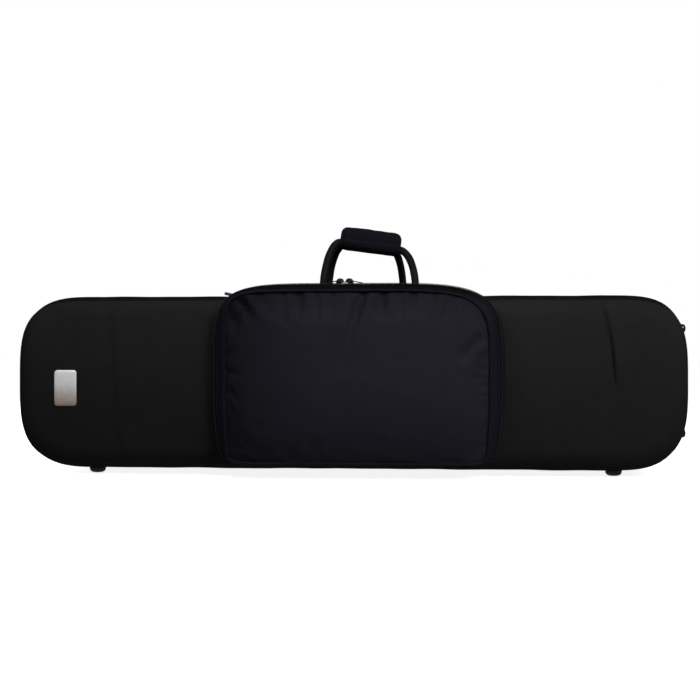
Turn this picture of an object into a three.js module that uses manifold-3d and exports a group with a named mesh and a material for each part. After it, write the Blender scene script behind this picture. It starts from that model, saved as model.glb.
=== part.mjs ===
import * as THREE from "three";
import { mergeVertices } from "three/addons/utils/BufferGeometryUtils.js";
import Module from "manifold-3d";

// A straight tenor trombone case that stands on its long edge. Two foam shells are hinged along the
// bottom edge and zipped round the ends and the top. The front shell carries a zipped music pocket,
// the rear one a foam bed cut for the bell, the slide, the mouthpiece and a lidded accessory box.
// Millimetres, +X along the case, +Y towards its back, +Z up.

const wasm = await Module();
wasm.setup();

// Driving dimensions of the two shells. Depths are taken from the zip's plane, heights from the
// middle of the shell.
const shellLength = 949;
const shellHeight = 248;
const halfDepth = 120;
const endReach = 111;
const topRoundingShare = 3.6;
const bottomRoundingShare = 3.3;
const panelWall = 8;
const sideBulge = 7;
const endBulge = 1;
const bulgeStart = 70;
const seamDepth = 95;
const fitGap = 0.3;
const overrun = 2;
const cornerStepCount = 11;
const bulgeStepCount = 3;
const edgeStepCount = 4;
const innerStepCount = 2;

// Zips. The small zip on the pocket is the same pattern at a share of the size.
const smallZipShare = 0.8;
const tapeWidth = 9;
const tapeThickness = 1.5;
const tapeRebate = 2;
const coilHeight = 2;
const coilWidth = 2.2;
const chainStopStepCount = 5;
const sliderLength = 15;
const sliderWidth = 13;
const sliderNoseWidth = 8;
const sliderPlate = 1.8;
const sliderFlange = 2.4;
const bailWidth = 2.4;
const bailWindow = 5;
const bailClear = 2.2;
const bailPost = 1.6;
const bailBar = 1.2;
const pullLength = 25;
const pullWidth = 8.4;
const pullThickness = 1.5;
const pullBar = 1.5;
const pullEye = 4.6;
const pullEyeWidth = 4;
const pullCorner = 1.4;
const mainSliderMeeting = -78;
const mainSliderSpacing = 18;
const pocketMeetingInset = 16.8;
const pocketSliderSpacing = 12.6;

// Feet under the case and studs on its right end.
const footHeight = 8.5;
const footRadius = 12;
const footTipRadius = 5;
const footFlange = 1.6;
const footLeftInset = 104.5;
const footRightInset = 98;
const footDepth = 60;
const studRadius = 6.5;
const studTipRadius = 3.2;
const studReach = 3;
const studDome = 4;
const studUp = 77;
const studDown = 71.5;
const studDepth = 58;
const studRoot = 20;
const roundStepCount = 16;
const footWaistShare = 0.9;
const footRimShare = 0.4;
const domeStepCount = 3;

// The badge on the left of the front panel is a bare domed plate.
const badgeWidth = 32;
const badgeHeight = 51;
const badgeThickness = 2.4;
const badgeCorner = 4.5;
const badgeBevel = 0.9;
const badgeInset = 74.5;
const badgeDrop = 7.5;

// Music pocket, a pouch with a raised top edge. Its outline is widest a little above the middle.
const pocketAcross = 15.8;
const pocketHalfWidth = 195.5;
const pocketTop = 136;
const pocketBottom = 107;
const pocketWidest = 13;
const pocketTopLeftShare = 6.2;
const pocketTopRightShare = 4.7;
const pocketBottomShare = 16;
const pocketDepth = 45;
const pocketZipStand = 22;
const pocketWall = 3;
const pocketBaseSide = 7;
const pocketBaseTop = 5;
const pocketLapTop = 18;
const pocketLapBottom = 4;
const pocketLap = 3;
const pocketShoulderSide = 14;
const pocketShoulderTop = 9.5;
const pocketShoulderBottom = 1.5;
const pocketShoulderStand = 16;
const pocketShoulderShares = [[0, 0], [0.55, 0.36], [1, 1]];
const pocketCrownShares = [[0.16, 0.62], [0.38, 0.92], [0.62, 1]];
const pipingRadius = 1.8;
const pipingLeanDegrees = 52;
const pipingSideCount = 6;
const pocketChainStopStepCount = 6;

// Carrying handle: two loops of covered cord, each through one half of a padded wrap.
const cordRadius = 5.5;
const cordSideCount = 10;
const cordStepCount = 26;
const loopStand = 36;
const gripStand = 8.2;
const frontLegLeft = -41;
const frontLegRight = 95;
const rearLegLeft = -39;
const rearLegRight = 75;
const gripLeft = -18;
const gripRight = 71;
const gripLeftHeight = 205;
const gripRightHeight = 194.5;
const gripLead = 4;
const legRise = 42;
const shoulderRun = 15;
const gripAbove = 24.5;
const gripBelow = 8;
const gripHalfWidth = 17.5;
const gripRoundingShare = 3.2;
const gripEndRound = 7;
const gripEndShares = [[0, 0.88], [0.4, 0.96], [1, 1]];
const gripSleeve = 0.4;
const gripStepCount = 9;
const anchorWidth = 30;
const anchorDepth = 22;
const anchorThickness = 4.5;
const anchorCorner = 6;
const anchorBevel = 1.2;

// Strap rings, each held in a folded webbing tab on top of the rear shell.
const ringWire = 2.3;
const ringHalfWidth = 15;
const ringReach = 20;
const ringLeft = -177;
const ringRight = 142;
const ringTiltDegrees = 12;
const ringStand = 32;
const ringSideCount = 8;
const ringArcStepCount = 14;
const ringPlay = 0.4;
const webbing = 1.7;
const webbingWidth = 24;
const webbingTail = 24;
const webbingStepCount = 7;

// Foam bed in the rear shell. Its recesses are cut for a bell of about 203 and a slide of about 740.
const bedFront = 6;
const bellRim = 104;
const bellNeck = 24;
const bellRimInset = 70.5;
const bellRimLand = 10;
const bellFlareLength = 434;
const bellStepCount = 9;
const bellFlareShare = 3.4;
const bowInset = 212.5;
const bowWidth = 112;
const bowNeckLap = 65;
const bowTop = 30;
const bowBottom = -96;
const bowDepth = 42;
const receiverLength = 220;
const receiverHeight = 30;
const slideInset = 49.5;
const slideLength = 725;
const slideLow = 66;
const slideHigh = 97;
const slideDepth = 96;
const recessCorner = 8;
const recessCornerStepCount = 4;
const boxInset = 56.5;
const boxWidth = 142;
const boxLow = -88;
const boxHigh = 2;
const boxDepth = 84;
const boxLidThickness = 4;
const boxLidLedge = 5;
const boxLidPlay = 0.8;
const boxTabWidth = 22;
const boxTabHeight = 14;
const boxTabThickness = 1.2;
const mouthpieceStand = 32;
const mouthpieceHeight = -45;
const mouthpieceRadius = 14.5;
const mouthpieceDepth = 74;
const keeperWidth = 28;
const keeperLap = 5.5;
const keeperThickness = 2;
const keeperLeftShare = 0.24;
const keeperRightShare = 0.78;
const keeperCorner = 5;
const linerThickness = 5;

// Places and sizes that follow from the ones above.
const halfTurn = Math.PI;
const quarterTurn = Math.PI / 2;
const degree = Math.PI / 180;
const halfGap = fitGap / 2;
const shellMiddle = footHeight + shellHeight / 2;
const shellTop = shellHeight / 2;
const shellEnd = shellLength / 2;
const bellRimAcross = shellEnd - bellRimInset;
const bellFlareStart = bellRimAcross - bellRimLand - bellFlareLength;
const bowLeft = bowInset - shellEnd;
const bowRight = bowLeft + bowWidth;
const bellNeckEnd = bowRight - bowNeckLap;
const slideLeft = slideInset - shellEnd;
const slideRight = slideLeft + slideLength;
const boxLeft = boxInset - shellEnd;
const boxRight = boxLeft + boxWidth;
const seamFace = seamDepth + fitGap;
const edgeRadius = halfDepth - seamFace;
const innerDepth = halfDepth - panelWall;
const innerRadius = innerDepth - seamFace;
const pocketFront = halfDepth + pocketDepth;
const pocketZip = halfDepth + pocketZipStand;
const pocketTapeEdge = tapeWidth * smallZipShare + fitGap;
const tapeSurface = fitGap + tapeThickness;
const coilStand = tapeSurface + coilHeight - tapeRebate;
const ringPointCount = 4 * cornerStepCount + 2;
const leftEndIndex = 2 * cornerStepCount + 1;

const materials = {
  shellCloth: new THREE.MeshStandardMaterial({ color: 0x1b1b1b, roughness: 0.75, metalness: 0 }),
  nylon: new THREE.MeshStandardMaterial({ color: 0x191920, roughness: 0.7, metalness: 0 }),
  zipTape: new THREE.MeshStandardMaterial({ color: 0x101014, roughness: 0.65, metalness: 0 }),
  piping: new THREE.MeshStandardMaterial({ color: 0x0d0d12, roughness: 0.6, metalness: 0 }),
  cord: new THREE.MeshStandardMaterial({ color: 0x131316, roughness: 0.55, metalness: 0 }),
  footPlastic: new THREE.MeshStandardMaterial({ color: 0x0c0c0d, roughness: 0.25, metalness: 0 }),
  sliderMetal: new THREE.MeshStandardMaterial({ color: 0x3d4448, roughness: 0.35, metalness: 1 }),
  ringMetal: new THREE.MeshStandardMaterial({ color: 0xb9bcc0, roughness: 0.25, metalness: 1 }),
  badgeMetal: new THREE.MeshStandardMaterial({ color: 0xb4b2ac, roughness: 0.3, metalness: 1 }),
  plush: new THREE.MeshStandardMaterial({ color: 0x23252b, roughness: 0.95, metalness: 0 }),
};

// Gives a geometry merged corners and faces that point outwards.
function closed(geometry) {
  const bare = geometry.index ? geometry.toNonIndexed() : geometry.clone();
  bare.deleteAttribute("normal");
  bare.deleteAttribute("uv");
  const merged = mergeVertices(bare, 1e-4);
  const place = merged.attributes.position;
  const index = merged.index.array;
  const corner = [new THREE.Vector3(), new THREE.Vector3(), new THREE.Vector3()];
  const kept = [];
  let volume = 0;
  for (let face = 0; face < index.length; face += 3) {
    const [a, b, c] = index.slice(face, face + 3);
    if (a === b || b === c || a === c) continue;
    corner[0].fromBufferAttribute(place, a);
    corner[1].fromBufferAttribute(place, b);
    corner[2].fromBufferAttribute(place, c);
    volume += corner[0].dot(corner[1].cross(corner[2]));
    kept.push(a, b, c);
  }
  if (volume < 0) kept.reverse();
  merged.setIndex(kept);
  merged.computeVertexNormals();
  return merged;
}

function toSolid(geometry) {
  const merged = closed(geometry);
  return new wasm.Manifold(new wasm.Mesh({
    numProp: 3,
    vertProperties: new Float32Array(merged.attributes.position.array),
    triVerts: new Uint32Array(merged.index.array),
  }));
}

function fromSolid(solid) {
  const mesh = solid.getMesh();
  const geometry = new THREE.BufferGeometry();
  geometry.setAttribute("position", new THREE.BufferAttribute(mesh.vertProperties, 3));
  geometry.setIndex(new THREE.BufferAttribute(mesh.triVerts, 1));
  return closed(geometry);
}

// Skins a row of rings that have the same number of points. The row either closes on itself or is
// capped at both ends by a fan from each end ring's first point.
function loft(rings, joinsUp) {
  const size = rings[0].length;
  const points = rings.flat();
  const index = [];
  const spans = joinsUp ? rings.length : rings.length - 1;
  for (let ring = 0; ring < spans; ring += 1) {
    const here = ring * size;
    const next = ((ring + 1) % rings.length) * size;
    for (let i = 0; i < size; i += 1) {
      const j = (i + 1) % size;
      index.push(here + i, here + j, next + j);
      index.push(here + i, next + j, next + i);
    }
  }
  if (!joinsUp) {
    const last = (rings.length - 1) * size;
    for (let i = 1; i < size - 1; i += 1) {
      index.push(0, i + 1, i);
      index.push(last, last + i, last + i + 1);
    }
  }
  const geometry = new THREE.BufferGeometry().setFromPoints(points);
  geometry.setIndex(index);
  return closed(geometry);
}

// A signed power, which turns a circle's cosine or sine into a rounded square's.
const rounded = (value, share) => Math.sign(value) * Math.abs(value) ** (2 / share);

// The case's outline at one depth: straight long sides between ends rounded as part of a
// superellipse, drawn in by one amount at the ends and another along the sides.
function caseRing(endInset, sideInset, depth) {
  const reach = endReach - endInset;
  const straight = shellEnd - endReach;
  const height = shellHeight / 2 - sideInset;
  const ring = [];
  for (let quarter = 0; quarter < 4; quarter += 1) {
    const side = quarter === 0 || quarter === 3 ? 1 : -1;
    const share = quarter < 2 ? topRoundingShare : bottomRoundingShare;
    const first = quarter === 2 ? 1 : 0;
    const last = quarter === 3 ? cornerStepCount - 1 : cornerStepCount;
    for (let step = first; step <= last; step += 1) {
      const turn = (quarter + step / cornerStepCount) * quarterTurn;
      const along = Math.abs(rounded(Math.cos(turn), share)) * reach;
      const up = rounded(Math.sin(turn), share) * height;
      ring.push(new THREE.Vector3(side * (straight + along), depth, up));
    }
  }
  return ring;
}

// Runs a section along part of a set of rings, one ring for each corner of the section.
function railAlong(rings, first, count) {
  const stations = [];
  for (let i = 0; i <= count; i += 1) {
    const at = (first + i + rings[0].length) % rings[0].length;
    stations.push(rings.map((ring) => ring[at]));
  }
  return loft(stations, false);
}

// The outer surface of a shell from the start of the bulge to the panel's rolled edge, as rows of
// end inset, side inset and depth.
function bulgeRows() {
  const rows = [];
  for (let step = 0; step <= bulgeStepCount; step += 1) {
    const share = step / bulgeStepCount;
    const depth = bulgeStart + (seamDepth - bulgeStart) * share;
    rows.push([endBulge * share ** 2, sideBulge * share ** 2, depth]);
  }
  return rows;
}

function edgeRows(base, radius, start, steps) {
  const rows = [];
  for (let step = 0; step <= steps; step += 1) {
    const turn = (step / steps) * quarterTurn;
    const inset = base + radius * (1 - Math.cos(turn));
    rows.push([endBulge + inset, sideBulge + inset, start + radius * Math.sin(turn)]);
  }
  return rows;
}

const ringsOf = (rows, side) => rows.map(([end, flank, depth]) => caseRing(end, flank, side * depth));

// Padded side wall of one shell, with a rebate at the mid-plane for the zip tape.
function sideBand(side) {
  const rebateEnd = tapeWidth + fitGap + halfGap;
  const outer = [
    [tapeRebate, tapeRebate, halfGap],
    [tapeRebate, tapeRebate, rebateEnd],
    [0, 0, rebateEnd + tapeRebate],
    ...bulgeRows(),
  ];
  const inner = [
    [endBulge + panelWall, sideBulge + panelWall, seamDepth],
    [endBulge + panelWall, sideBulge + panelWall, halfGap],
  ];
  return loft(ringsOf([...outer, ...inner], side), true);
}

// Moulded face panel of one shell: a shallow dish with a rolled edge.
function facePanel(side) {
  const outer = edgeRows(0, edgeRadius, seamFace, edgeStepCount);
  const inner = edgeRows(panelWall, innerRadius, seamFace, innerStepCount);
  return loft(ringsOf([...inner.reverse(), ...outer], side), false);
}

// The block that a shell takes up, grown by a gap, for cutting whatever is seated on it.
function shellBlock(side) {
  const grown = (rows) => rows.map(([end, flank, depth]) => [end - fitGap, flank - fitGap, depth]);
  const start = [-fitGap, -fitGap, 0];
  const rows = [start, ...grown(bulgeRows()), ...grown(edgeRows(0, edgeRadius, seamFace, edgeStepCount))];
  const face = rows[rows.length - 1];
  rows.push([face[0], face[1], face[2] + fitGap]);
  return toSolid(loft(ringsOf(rows, side), false));
}

// One half of the main zip: tape in the rebate and a coil along the tape's free edge. The first
// corner of the section is the inner one, from which all the others can be seen.
function mainZipHalf(side) {
  const surface = tapeRebate - fitGap - tapeThickness;
  const section = [
    [surface, fitGap + coilWidth],
    [surface, fitGap + tapeWidth - fitGap],
    [tapeRebate - fitGap, fitGap + tapeWidth - fitGap],
    [tapeRebate - fitGap, fitGap],
    [surface - coilHeight, fitGap],
    [surface - coilHeight, fitGap + coilWidth],
  ];
  const rings = section.map(([inset, depth]) => caseRing(inset, inset, side * depth));
  return railAlong(rings, -chainStopStepCount, leftEndIndex + 2 * chainStopStepCount);
}

// Sewn strip along the bottom edge, on which the front shell turns.
function hingeTape(side) {
  const section = [
    [tapeRebate - fitGap - tapeThickness, fitGap],
    [tapeRebate - fitGap - tapeThickness, tapeWidth],
    [tapeRebate - fitGap, tapeWidth],
    [tapeRebate - fitGap, fitGap],
  ];
  const rings = section.map(([inset, depth]) => caseRing(inset, inset, side * depth));
  const first = leftEndIndex + chainStopStepCount + 1;
  const count = ringPointCount - chainStopStepCount - 1 - first;
  return railAlong(rings, first, count);
}

// A rounded rectangle as a shape, centred on the origin.
function roundedRectangle(width, height, radius) {
  const x = width / 2;
  const y = height / 2;
  const shape = new THREE.Shape();
  shape.absarc(x - radius, y - radius, radius, 0, quarterTurn);
  shape.absarc(radius - x, y - radius, radius, quarterTurn, halfTurn);
  shape.absarc(radius - x, radius - y, radius, halfTurn, 3 * quarterTurn);
  shape.absarc(x - radius, radius - y, radius, 3 * quarterTurn, 4 * quarterTurn);
  return shape;
}

// A plate whose outline lies in the upright X-Z plane and whose thickness runs from the origin
// towards +Y.
function uprightPlate(shape, thickness, steps) {
  const options = { depth: thickness, bevelEnabled: false, curveSegments: steps };
  const geometry = new THREE.ExtrudeGeometry(shape, options);
  return geometry.rotateX(quarterTurn).translate(0, thickness, 0);
}

// A recess with rounded corners, sunk into the bed from its front.
function recess(left, right, low, high, depth) {
  const shape = roundedRectangle(right - left, high - low, recessCorner);
  const plate = uprightPlate(shape, depth + overrun, recessCornerStepCount);
  return plate.translate((left + right) / 2, bedFront - overrun, (low + high) / 2);
}

// The space the bell needs: a neck that opens along a power curve to the rim.
function bellSpace() {
  const profile = [new THREE.Vector2(0, bellNeckEnd), new THREE.Vector2(bellNeck, bellNeckEnd)];
  for (let step = 0; step <= bellStepCount; step += 1) {
    const share = step / bellStepCount;
    const along = bellFlareStart + (bellRimAcross - bellRimLand - bellFlareStart) * share;
    const radius = bellNeck + (bellRim - bellNeck) * share ** bellFlareShare;
    profile.push(new THREE.Vector2(radius, along));
  }
  profile.push(new THREE.Vector2(bellRim, bellRimAcross), new THREE.Vector2(0, bellRimAcross));
  return new THREE.LatheGeometry(profile, roundStepCount).rotateZ(-quarterTurn);
}

function foamBed() {
  const start = [endBulge + panelWall + fitGap, sideBulge + panelWall + fitGap, bedFront];
  const edge = edgeRows(panelWall + fitGap, innerRadius, seamFace - fitGap, innerStepCount);
  const block = toSolid(loft(ringsOf([start, ...edge], 1), false));
  const lidRecess = recess(
    boxLeft - boxLidLedge, boxRight + boxLidLedge, boxLow - boxLidLedge, boxHigh + boxLidLedge,
    boxLidThickness + fitGap,
  );
  const mouthpiece = new THREE.CylinderGeometry(
    mouthpieceRadius, mouthpieceRadius, mouthpieceDepth + overrun, roundStepCount,
  ).translate(bowRight + mouthpieceStand, bedFront + (mouthpieceDepth - overrun) / 2, mouthpieceHeight);
  const cuts = [
    bellSpace(),
    recess(bowLeft, bowRight, bowBottom, bowTop, bowDepth),
    recess(bowRight - 2 * recessCorner, bowRight + receiverLength, bowBottom, bowBottom + receiverHeight, bowDepth),
    recess(slideLeft, slideRight, slideLow, slideHigh, slideDepth),
    recess(boxLeft, boxRight, boxLow, boxHigh, boxDepth),
    lidRecess,
    mouthpiece,
  ];
  return fromSolid(cuts.reduce((solid, cut) => solid.subtract(toSolid(cut)), block));
}

// Padded lining of the front shell, a dish that leaves room for the front of the bell.
function lidLiner() {
  const outerInset = panelWall + fitGap;
  const innerInset = outerInset + linerThickness;
  const radius = innerRadius;
  const outer = edgeRows(outerInset, radius, seamFace - fitGap, innerStepCount);
  const inner = edgeRows(innerInset, radius, seamFace - fitGap - linerThickness, innerStepCount);
  const rim = (inset) => [endBulge + inset, sideBulge + inset, bedFront];
  const rows = [...inner.reverse(), rim(innerInset), rim(outerInset), ...outer];
  return loft(ringsOf(rows, -1), false);
}

// A foot or stud turned round its own axis, which points along +Y with the tip at the origin.
function turnedFoot(radius, tipRadius, flange, height) {
  const profile = [new THREE.Vector2(0, 0)];
  const dome = height - flange;
  for (let step = 0; step <= domeStepCount; step += 1) {
    const turn = (step / domeStepCount) * quarterTurn;
    const across = tipRadius + (radius - tipRadius) * footWaistShare * Math.sin(turn);
    profile.push(new THREE.Vector2(across, dome * (1 - Math.cos(turn))));
  }
  profile.push(new THREE.Vector2(radius, dome + flange * footRimShare));
  profile.push(new THREE.Vector2(radius, height));
  profile.push(new THREE.Vector2(0, height));
  return new THREE.LatheGeometry(profile, roundStepCount);
}

// The pocket's outline at one depth in front of the zip's plane.
function pocketRing(halfWidth, top, bottom, depth) {
  const ring = [];
  const count = 4 * cornerStepCount;
  for (let step = 0; step < count; step += 1) {
    const turn = (step / cornerStepCount) * quarterTurn;
    const topShare = Math.cos(turn) >= 0 ? pocketTopRightShare : pocketTopLeftShare;
    const share = Math.sin(turn) >= 0 ? topShare : pocketBottomShare;
    const tall = Math.sin(turn) >= 0 ? top - pocketWidest : bottom + pocketWidest;
    const across = pocketAcross + rounded(Math.cos(turn), share) * halfWidth;
    ring.push(new THREE.Vector3(across, -depth, pocketWidest + rounded(Math.sin(turn), share) * tall));
  }
  return ring;
}

const pocketRingsOf = (rows) => rows.map(([width, top, bottom, depth]) => (
  pocketRing(width, top, bottom, depth)
));

const thinner = ([width, top, bottom, depth], wall) => [width - wall, top - wall, bottom - wall, depth];

// Rear half of the pocket's gusset. It spreads towards the shell's face at the sides and runs down
// to the shell's rolled edge at the top, where it is sewn on.
function pocketGusset(frontBlock) {
  const side = pocketHalfWidth;
  const baseSide = pocketHalfWidth + pocketBaseSide;
  const outer = [
    [baseSide, pocketTop - pocketLapTop, pocketBottom - pocketLapBottom, seamDepth + pocketLap],
    [baseSide, pocketTop - pocketBaseTop, pocketBottom, halfDepth + fitGap],
    [side, pocketTop, pocketBottom, pocketZip - pocketTapeEdge],
    [side, pocketTop, pocketBottom, pocketZip - halfGap],
  ];
  const inner = [...outer].reverse().map((row) => thinner(row, pocketWall));
  const tube = toSolid(loft(pocketRingsOf([...outer, ...inner]), true));
  return fromSolid(tube.subtract(frontBlock));
}

// The outer surface in front of the pocket's zip, up to the panel's edge where the piping is sewn in.
function shoulderRows() {
  return pocketShoulderShares.map(([forward, inward]) => [
    pocketHalfWidth - pocketShoulderSide * inward,
    pocketTop - pocketShoulderTop * inward,
    pocketBottom - pocketShoulderBottom * inward,
    pocketZip + pocketTapeEdge + (pocketShoulderStand - pocketTapeEdge) * forward,
  ]);
}

// Front half of the pocket: gusset, rolled shoulder and a crowned panel in one sewn skin.
function pocketFlap() {
  const rim = [pocketHalfWidth, pocketTop, pocketBottom, pocketZip + halfGap];
  const shoulder = shoulderRows();
  const edge = shoulder[shoulder.length - 1];
  const crown = pocketFront - edge[3];
  const panel = pocketCrownShares.map(([inward, forward]) => [
    edge[0] * (1 - inward),
    edge[1] - (edge[1] - pocketWidest) * inward,
    edge[2] - (edge[2] + pocketWidest) * inward,
    edge[3] + crown * forward,
  ]);
  const side = [rim, ...shoulder.slice(0, -1)];
  const behind = (row) => {
    const [width, top, bottom, depth] = thinner(row, pocketWall);
    return [width, top, bottom, depth - pocketWall];
  };
  const inner = [...side.map((row) => thinner(row, pocketWall)), ...[edge, ...panel].map(behind)];
  return loft(pocketRingsOf([...inner.reverse(), ...side, edge, ...panel]), false);
}

// Runs a round section along a closed flat loop of points. The loop's plane is square to `up`.
function tubeLoop(points, up, radius, sides) {
  const stations = points.map((point, i) => {
    const before = points[(i + points.length - 1) % points.length];
    const after = points[(i + 1) % points.length];
    const ahead = after.clone().sub(point).normalize();
    const behind = point.clone().sub(before).normalize();
    const along = ahead.clone().add(behind).normalize();
    const out = along.clone().cross(up);
    const reach = radius / Math.sqrt((1 + ahead.dot(behind)) / 2);
    const ring = [];
    for (let side = 0; side < sides; side += 1) {
      const turn = (side / sides) * 2 * halfTurn;
      const aside = out.clone().multiplyScalar(reach * Math.cos(turn));
      const above = up.clone().multiplyScalar(radius * Math.sin(turn));
      ring.push(point.clone().add(aside).add(above));
    }
    return ring;
  });
  return loft(stations, true);
}

// Piping in the seam round the pocket's front panel, standing just off the panel's corner.
function pocketPiping() {
  const [width, top, bottom, depth] = shoulderRows().at(-1);
  const stand = pipingRadius + fitGap;
  const out = stand * Math.cos(pipingLeanDegrees * degree);
  const forward = stand * Math.sin(pipingLeanDegrees * degree);
  const path = pocketRing(width + out, top + out, bottom + out, depth + forward);
  return tubeLoop(path, new THREE.Vector3(0, 1, 0), pipingRadius, pipingSideCount);
}

// One half of the pocket's zip, which runs up the sides and over the top of the gusset.
function pocketZipHalf(side) {
  const thickness = tapeThickness * smallZipShare;
  const surface = fitGap + thickness;
  const ridge = surface + coilHeight * smallZipShare;
  const inner = fitGap;
  const coil = fitGap + coilWidth * smallZipShare;
  const edge = tapeWidth * smallZipShare;
  const section = [[surface, coil], [surface, edge], [fitGap, edge], [fitGap, inner], [ridge, inner], [ridge, coil]];
  const rings = section.map(([outset, stand]) => {
    const depth = pocketZip + side * stand;
    return pocketRing(pocketHalfWidth + outset, pocketTop + outset, pocketBottom + outset, depth);
  });
  const sweep = 2 * cornerStepCount + 2 * pocketChainStopStepCount;
  return railAlong(rings, -pocketChainStopStepCount, sweep);
}

// A zip slider of the given size share. Its origin is on the tape, between the two coils. The
// flange is on the rear coil only, so that the front coil can leave it.
function zipSlider(share) {
  const length = sliderLength * share;
  const halfWide = (sliderWidth / 2) * share;
  const halfNose = (sliderNoseWidth / 2) * share;
  const under = coilHeight * share + fitGap;
  const plate = sliderPlate * share;
  const flangeIn = coilWidth * share + 2 * fitGap;
  const outline = new THREE.Shape([
    new THREE.Vector2(-length / 2, -halfNose),
    new THREE.Vector2(-length / 6, -halfWide),
    new THREE.Vector2(length / 2, -halfWide),
    new THREE.Vector2(length / 2, halfWide),
    new THREE.Vector2(-length / 6, halfWide),
    new THREE.Vector2(-length / 2, halfNose),
  ]);
  const top = new THREE.ExtrudeGeometry(outline, { depth: plate, bevelEnabled: false });
  top.translate(0, 0, under);
  const flange = new THREE.BoxGeometry(length * (2 / 3), sliderFlange * share, under + plate / 2 - fitGap);
  flange.translate(length / 6, flangeIn + (sliderFlange * share) / 2, (under + plate / 2 + fitGap) / 2);
  const halfBail = (bailWindow / 2 + bailPost) * share;
  const bailTop = (bailClear + bailBar) * share;
  const arch = new THREE.Shape([
    new THREE.Vector2(-halfBail, -plate / 2),
    new THREE.Vector2(halfBail, -plate / 2),
    new THREE.Vector2(halfBail, bailTop - bailBar * share),
    new THREE.Vector2(halfBail - bailBar * share, bailTop),
    new THREE.Vector2(bailBar * share - halfBail, bailTop),
    new THREE.Vector2(-halfBail, bailTop - bailBar * share),
  ]);
  const halfWindow = (bailWindow / 2) * share;
  arch.holes.push(new THREE.Path([
    new THREE.Vector2(-halfWindow, 0),
    new THREE.Vector2(-halfWindow, bailClear * share),
    new THREE.Vector2(halfWindow, bailClear * share),
    new THREE.Vector2(halfWindow, 0),
  ]));
  const bail = uprightPlate(arch, bailWidth * share, 1);
  bail.translate(0, (-bailWidth / 2) * share, under + plate);
  return fromSolid(toSolid(top).add(toSolid(flange)).add(toSolid(bail)));
}

// The pull turns on a bar that passes through the slider's bail. Its origin is that bar's centre,
// and it reaches towards +X.
function zipPull(share) {
  const bar = (pullBar / 2) * share;
  const width = pullWidth * share;
  const shape = new THREE.Shape();
  const corner = pullCorner * share;
  const far = pullLength * share;
  shape.moveTo(-bar, -width / 2);
  shape.lineTo(far - 2 * corner, -width / 2);
  shape.lineTo(far, -width / 2 + corner);
  shape.lineTo(far, width / 2 - corner);
  shape.lineTo(far - 2 * corner, width / 2);
  shape.lineTo(-bar, width / 2);
  const halfEye = (pullEyeWidth / 2) * share;
  shape.holes.push(new THREE.Path([
    new THREE.Vector2(bar, -halfEye),
    new THREE.Vector2(bar, halfEye),
    new THREE.Vector2(bar + pullEye * share, halfEye),
    new THREE.Vector2(bar + pullEye * share, -halfEye),
  ]));
  const plate = new THREE.ExtrudeGeometry(shape, { depth: pullThickness * share, bevelEnabled: false });
  return closed(plate.translate(0, 0, (-pullThickness / 2) * share));
}

const bailHeight = (share) => (coilHeight + sliderPlate + bailClear / 2) * share + fitGap;

// A handle loop: two legs that rise from their anchors and lean in to a straight run in the wrap.
function handleLoop(side, legLeft, legRight) {
  const foot = shellTop + anchorThickness + 2 * fitGap;
  const slope = (gripRightHeight - gripLeftHeight) / (gripRight - gripLeft);
  const heightAt = (across) => gripLeftHeight + slope * (across - gripLeft);
  const leg = (across, end, outward) => [
    new THREE.Vector3(across, side * loopStand, foot),
    new THREE.Vector3(across, side * loopStand, foot + legRise),
    new THREE.Vector3(end + outward * shoulderRun, side * gripStand, heightAt(end + outward * shoulderRun)),
    new THREE.Vector3(end, side * gripStand, heightAt(end)),
  ];
  const left = leg(legLeft, gripLeft - gripLead, -1);
  const right = leg(legRight, gripRight + gripLead, 1).reverse();
  const path = new THREE.CurvePath();
  path.add(new THREE.CubicBezierCurve3(...left));
  path.add(new THREE.LineCurve3(left[3], right[0]));
  path.add(new THREE.CubicBezierCurve3(...right));
  const section = new THREE.Shape();
  section.absarc(0, 0, cordRadius, 0, 2 * halfTurn);
  const options = { steps: cordStepCount, extrudePath: path, bevelEnabled: false, curveSegments: cordSideCount / 2 };
  return closed(new THREE.ExtrudeGeometry(section, options));
}

// One half of the padded wrap, with a sleeve for its loop. It lies along +X from the origin.
function gripHalf(side) {
  const middle = (gripAbove - gripBelow) / 2;
  const tall = (gripAbove + gripBelow) / 2;
  const run = Math.hypot(gripRight - gripLeft, gripRightHeight - gripLeftHeight);
  const ends = gripEndShares.map(([inward, size]) => [inward * gripEndRound, size]);
  const stations = [...ends, ...ends.map(([inward, size]) => [run - inward, size]).reverse()];
  const sections = stations.map(([along, size]) => {
    const section = [];
    for (let step = 0; step < 2 * gripStepCount; step += 1) {
      const turn = (step / gripStepCount) * halfTurn;
      const aside = gripHalfWidth * rounded(Math.cos(turn), gripRoundingShare) * size;
      const up = (middle + tall * rounded(Math.sin(turn), gripRoundingShare)) * size;
      section.push(new THREE.Vector3(along, aside, up));
    }
    return section;
  });
  const sleeve = new THREE.CylinderGeometry(
    cordRadius + gripSleeve, cordRadius + gripSleeve, run + 2 * overrun, roundStepCount,
  ).rotateZ(quarterTurn).translate(run / 2, side * gripStand, 0);
  const half = toSolid(loft(sections, false)).trimByPlane([0, side, 0], halfGap);
  return fromSolid(half.subtract(toSolid(sleeve)));
}

function handleAnchor() {
  const shape = roundedRectangle(anchorWidth, anchorDepth, anchorCorner);
  const plate = new THREE.ExtrudeGeometry(shape, {
    depth: anchorThickness - anchorBevel,
    bevelEnabled: true,
    bevelThickness: anchorBevel,
    bevelSize: anchorBevel,
    bevelOffset: -anchorBevel,
    bevelSegments: 1,
    curveSegments: recessCornerStepCount,
  });
  const trimmed = toSolid(plate).trimByPlane([0, 0, 1], 0);
  return fromSolid(trimmed);
}

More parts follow.
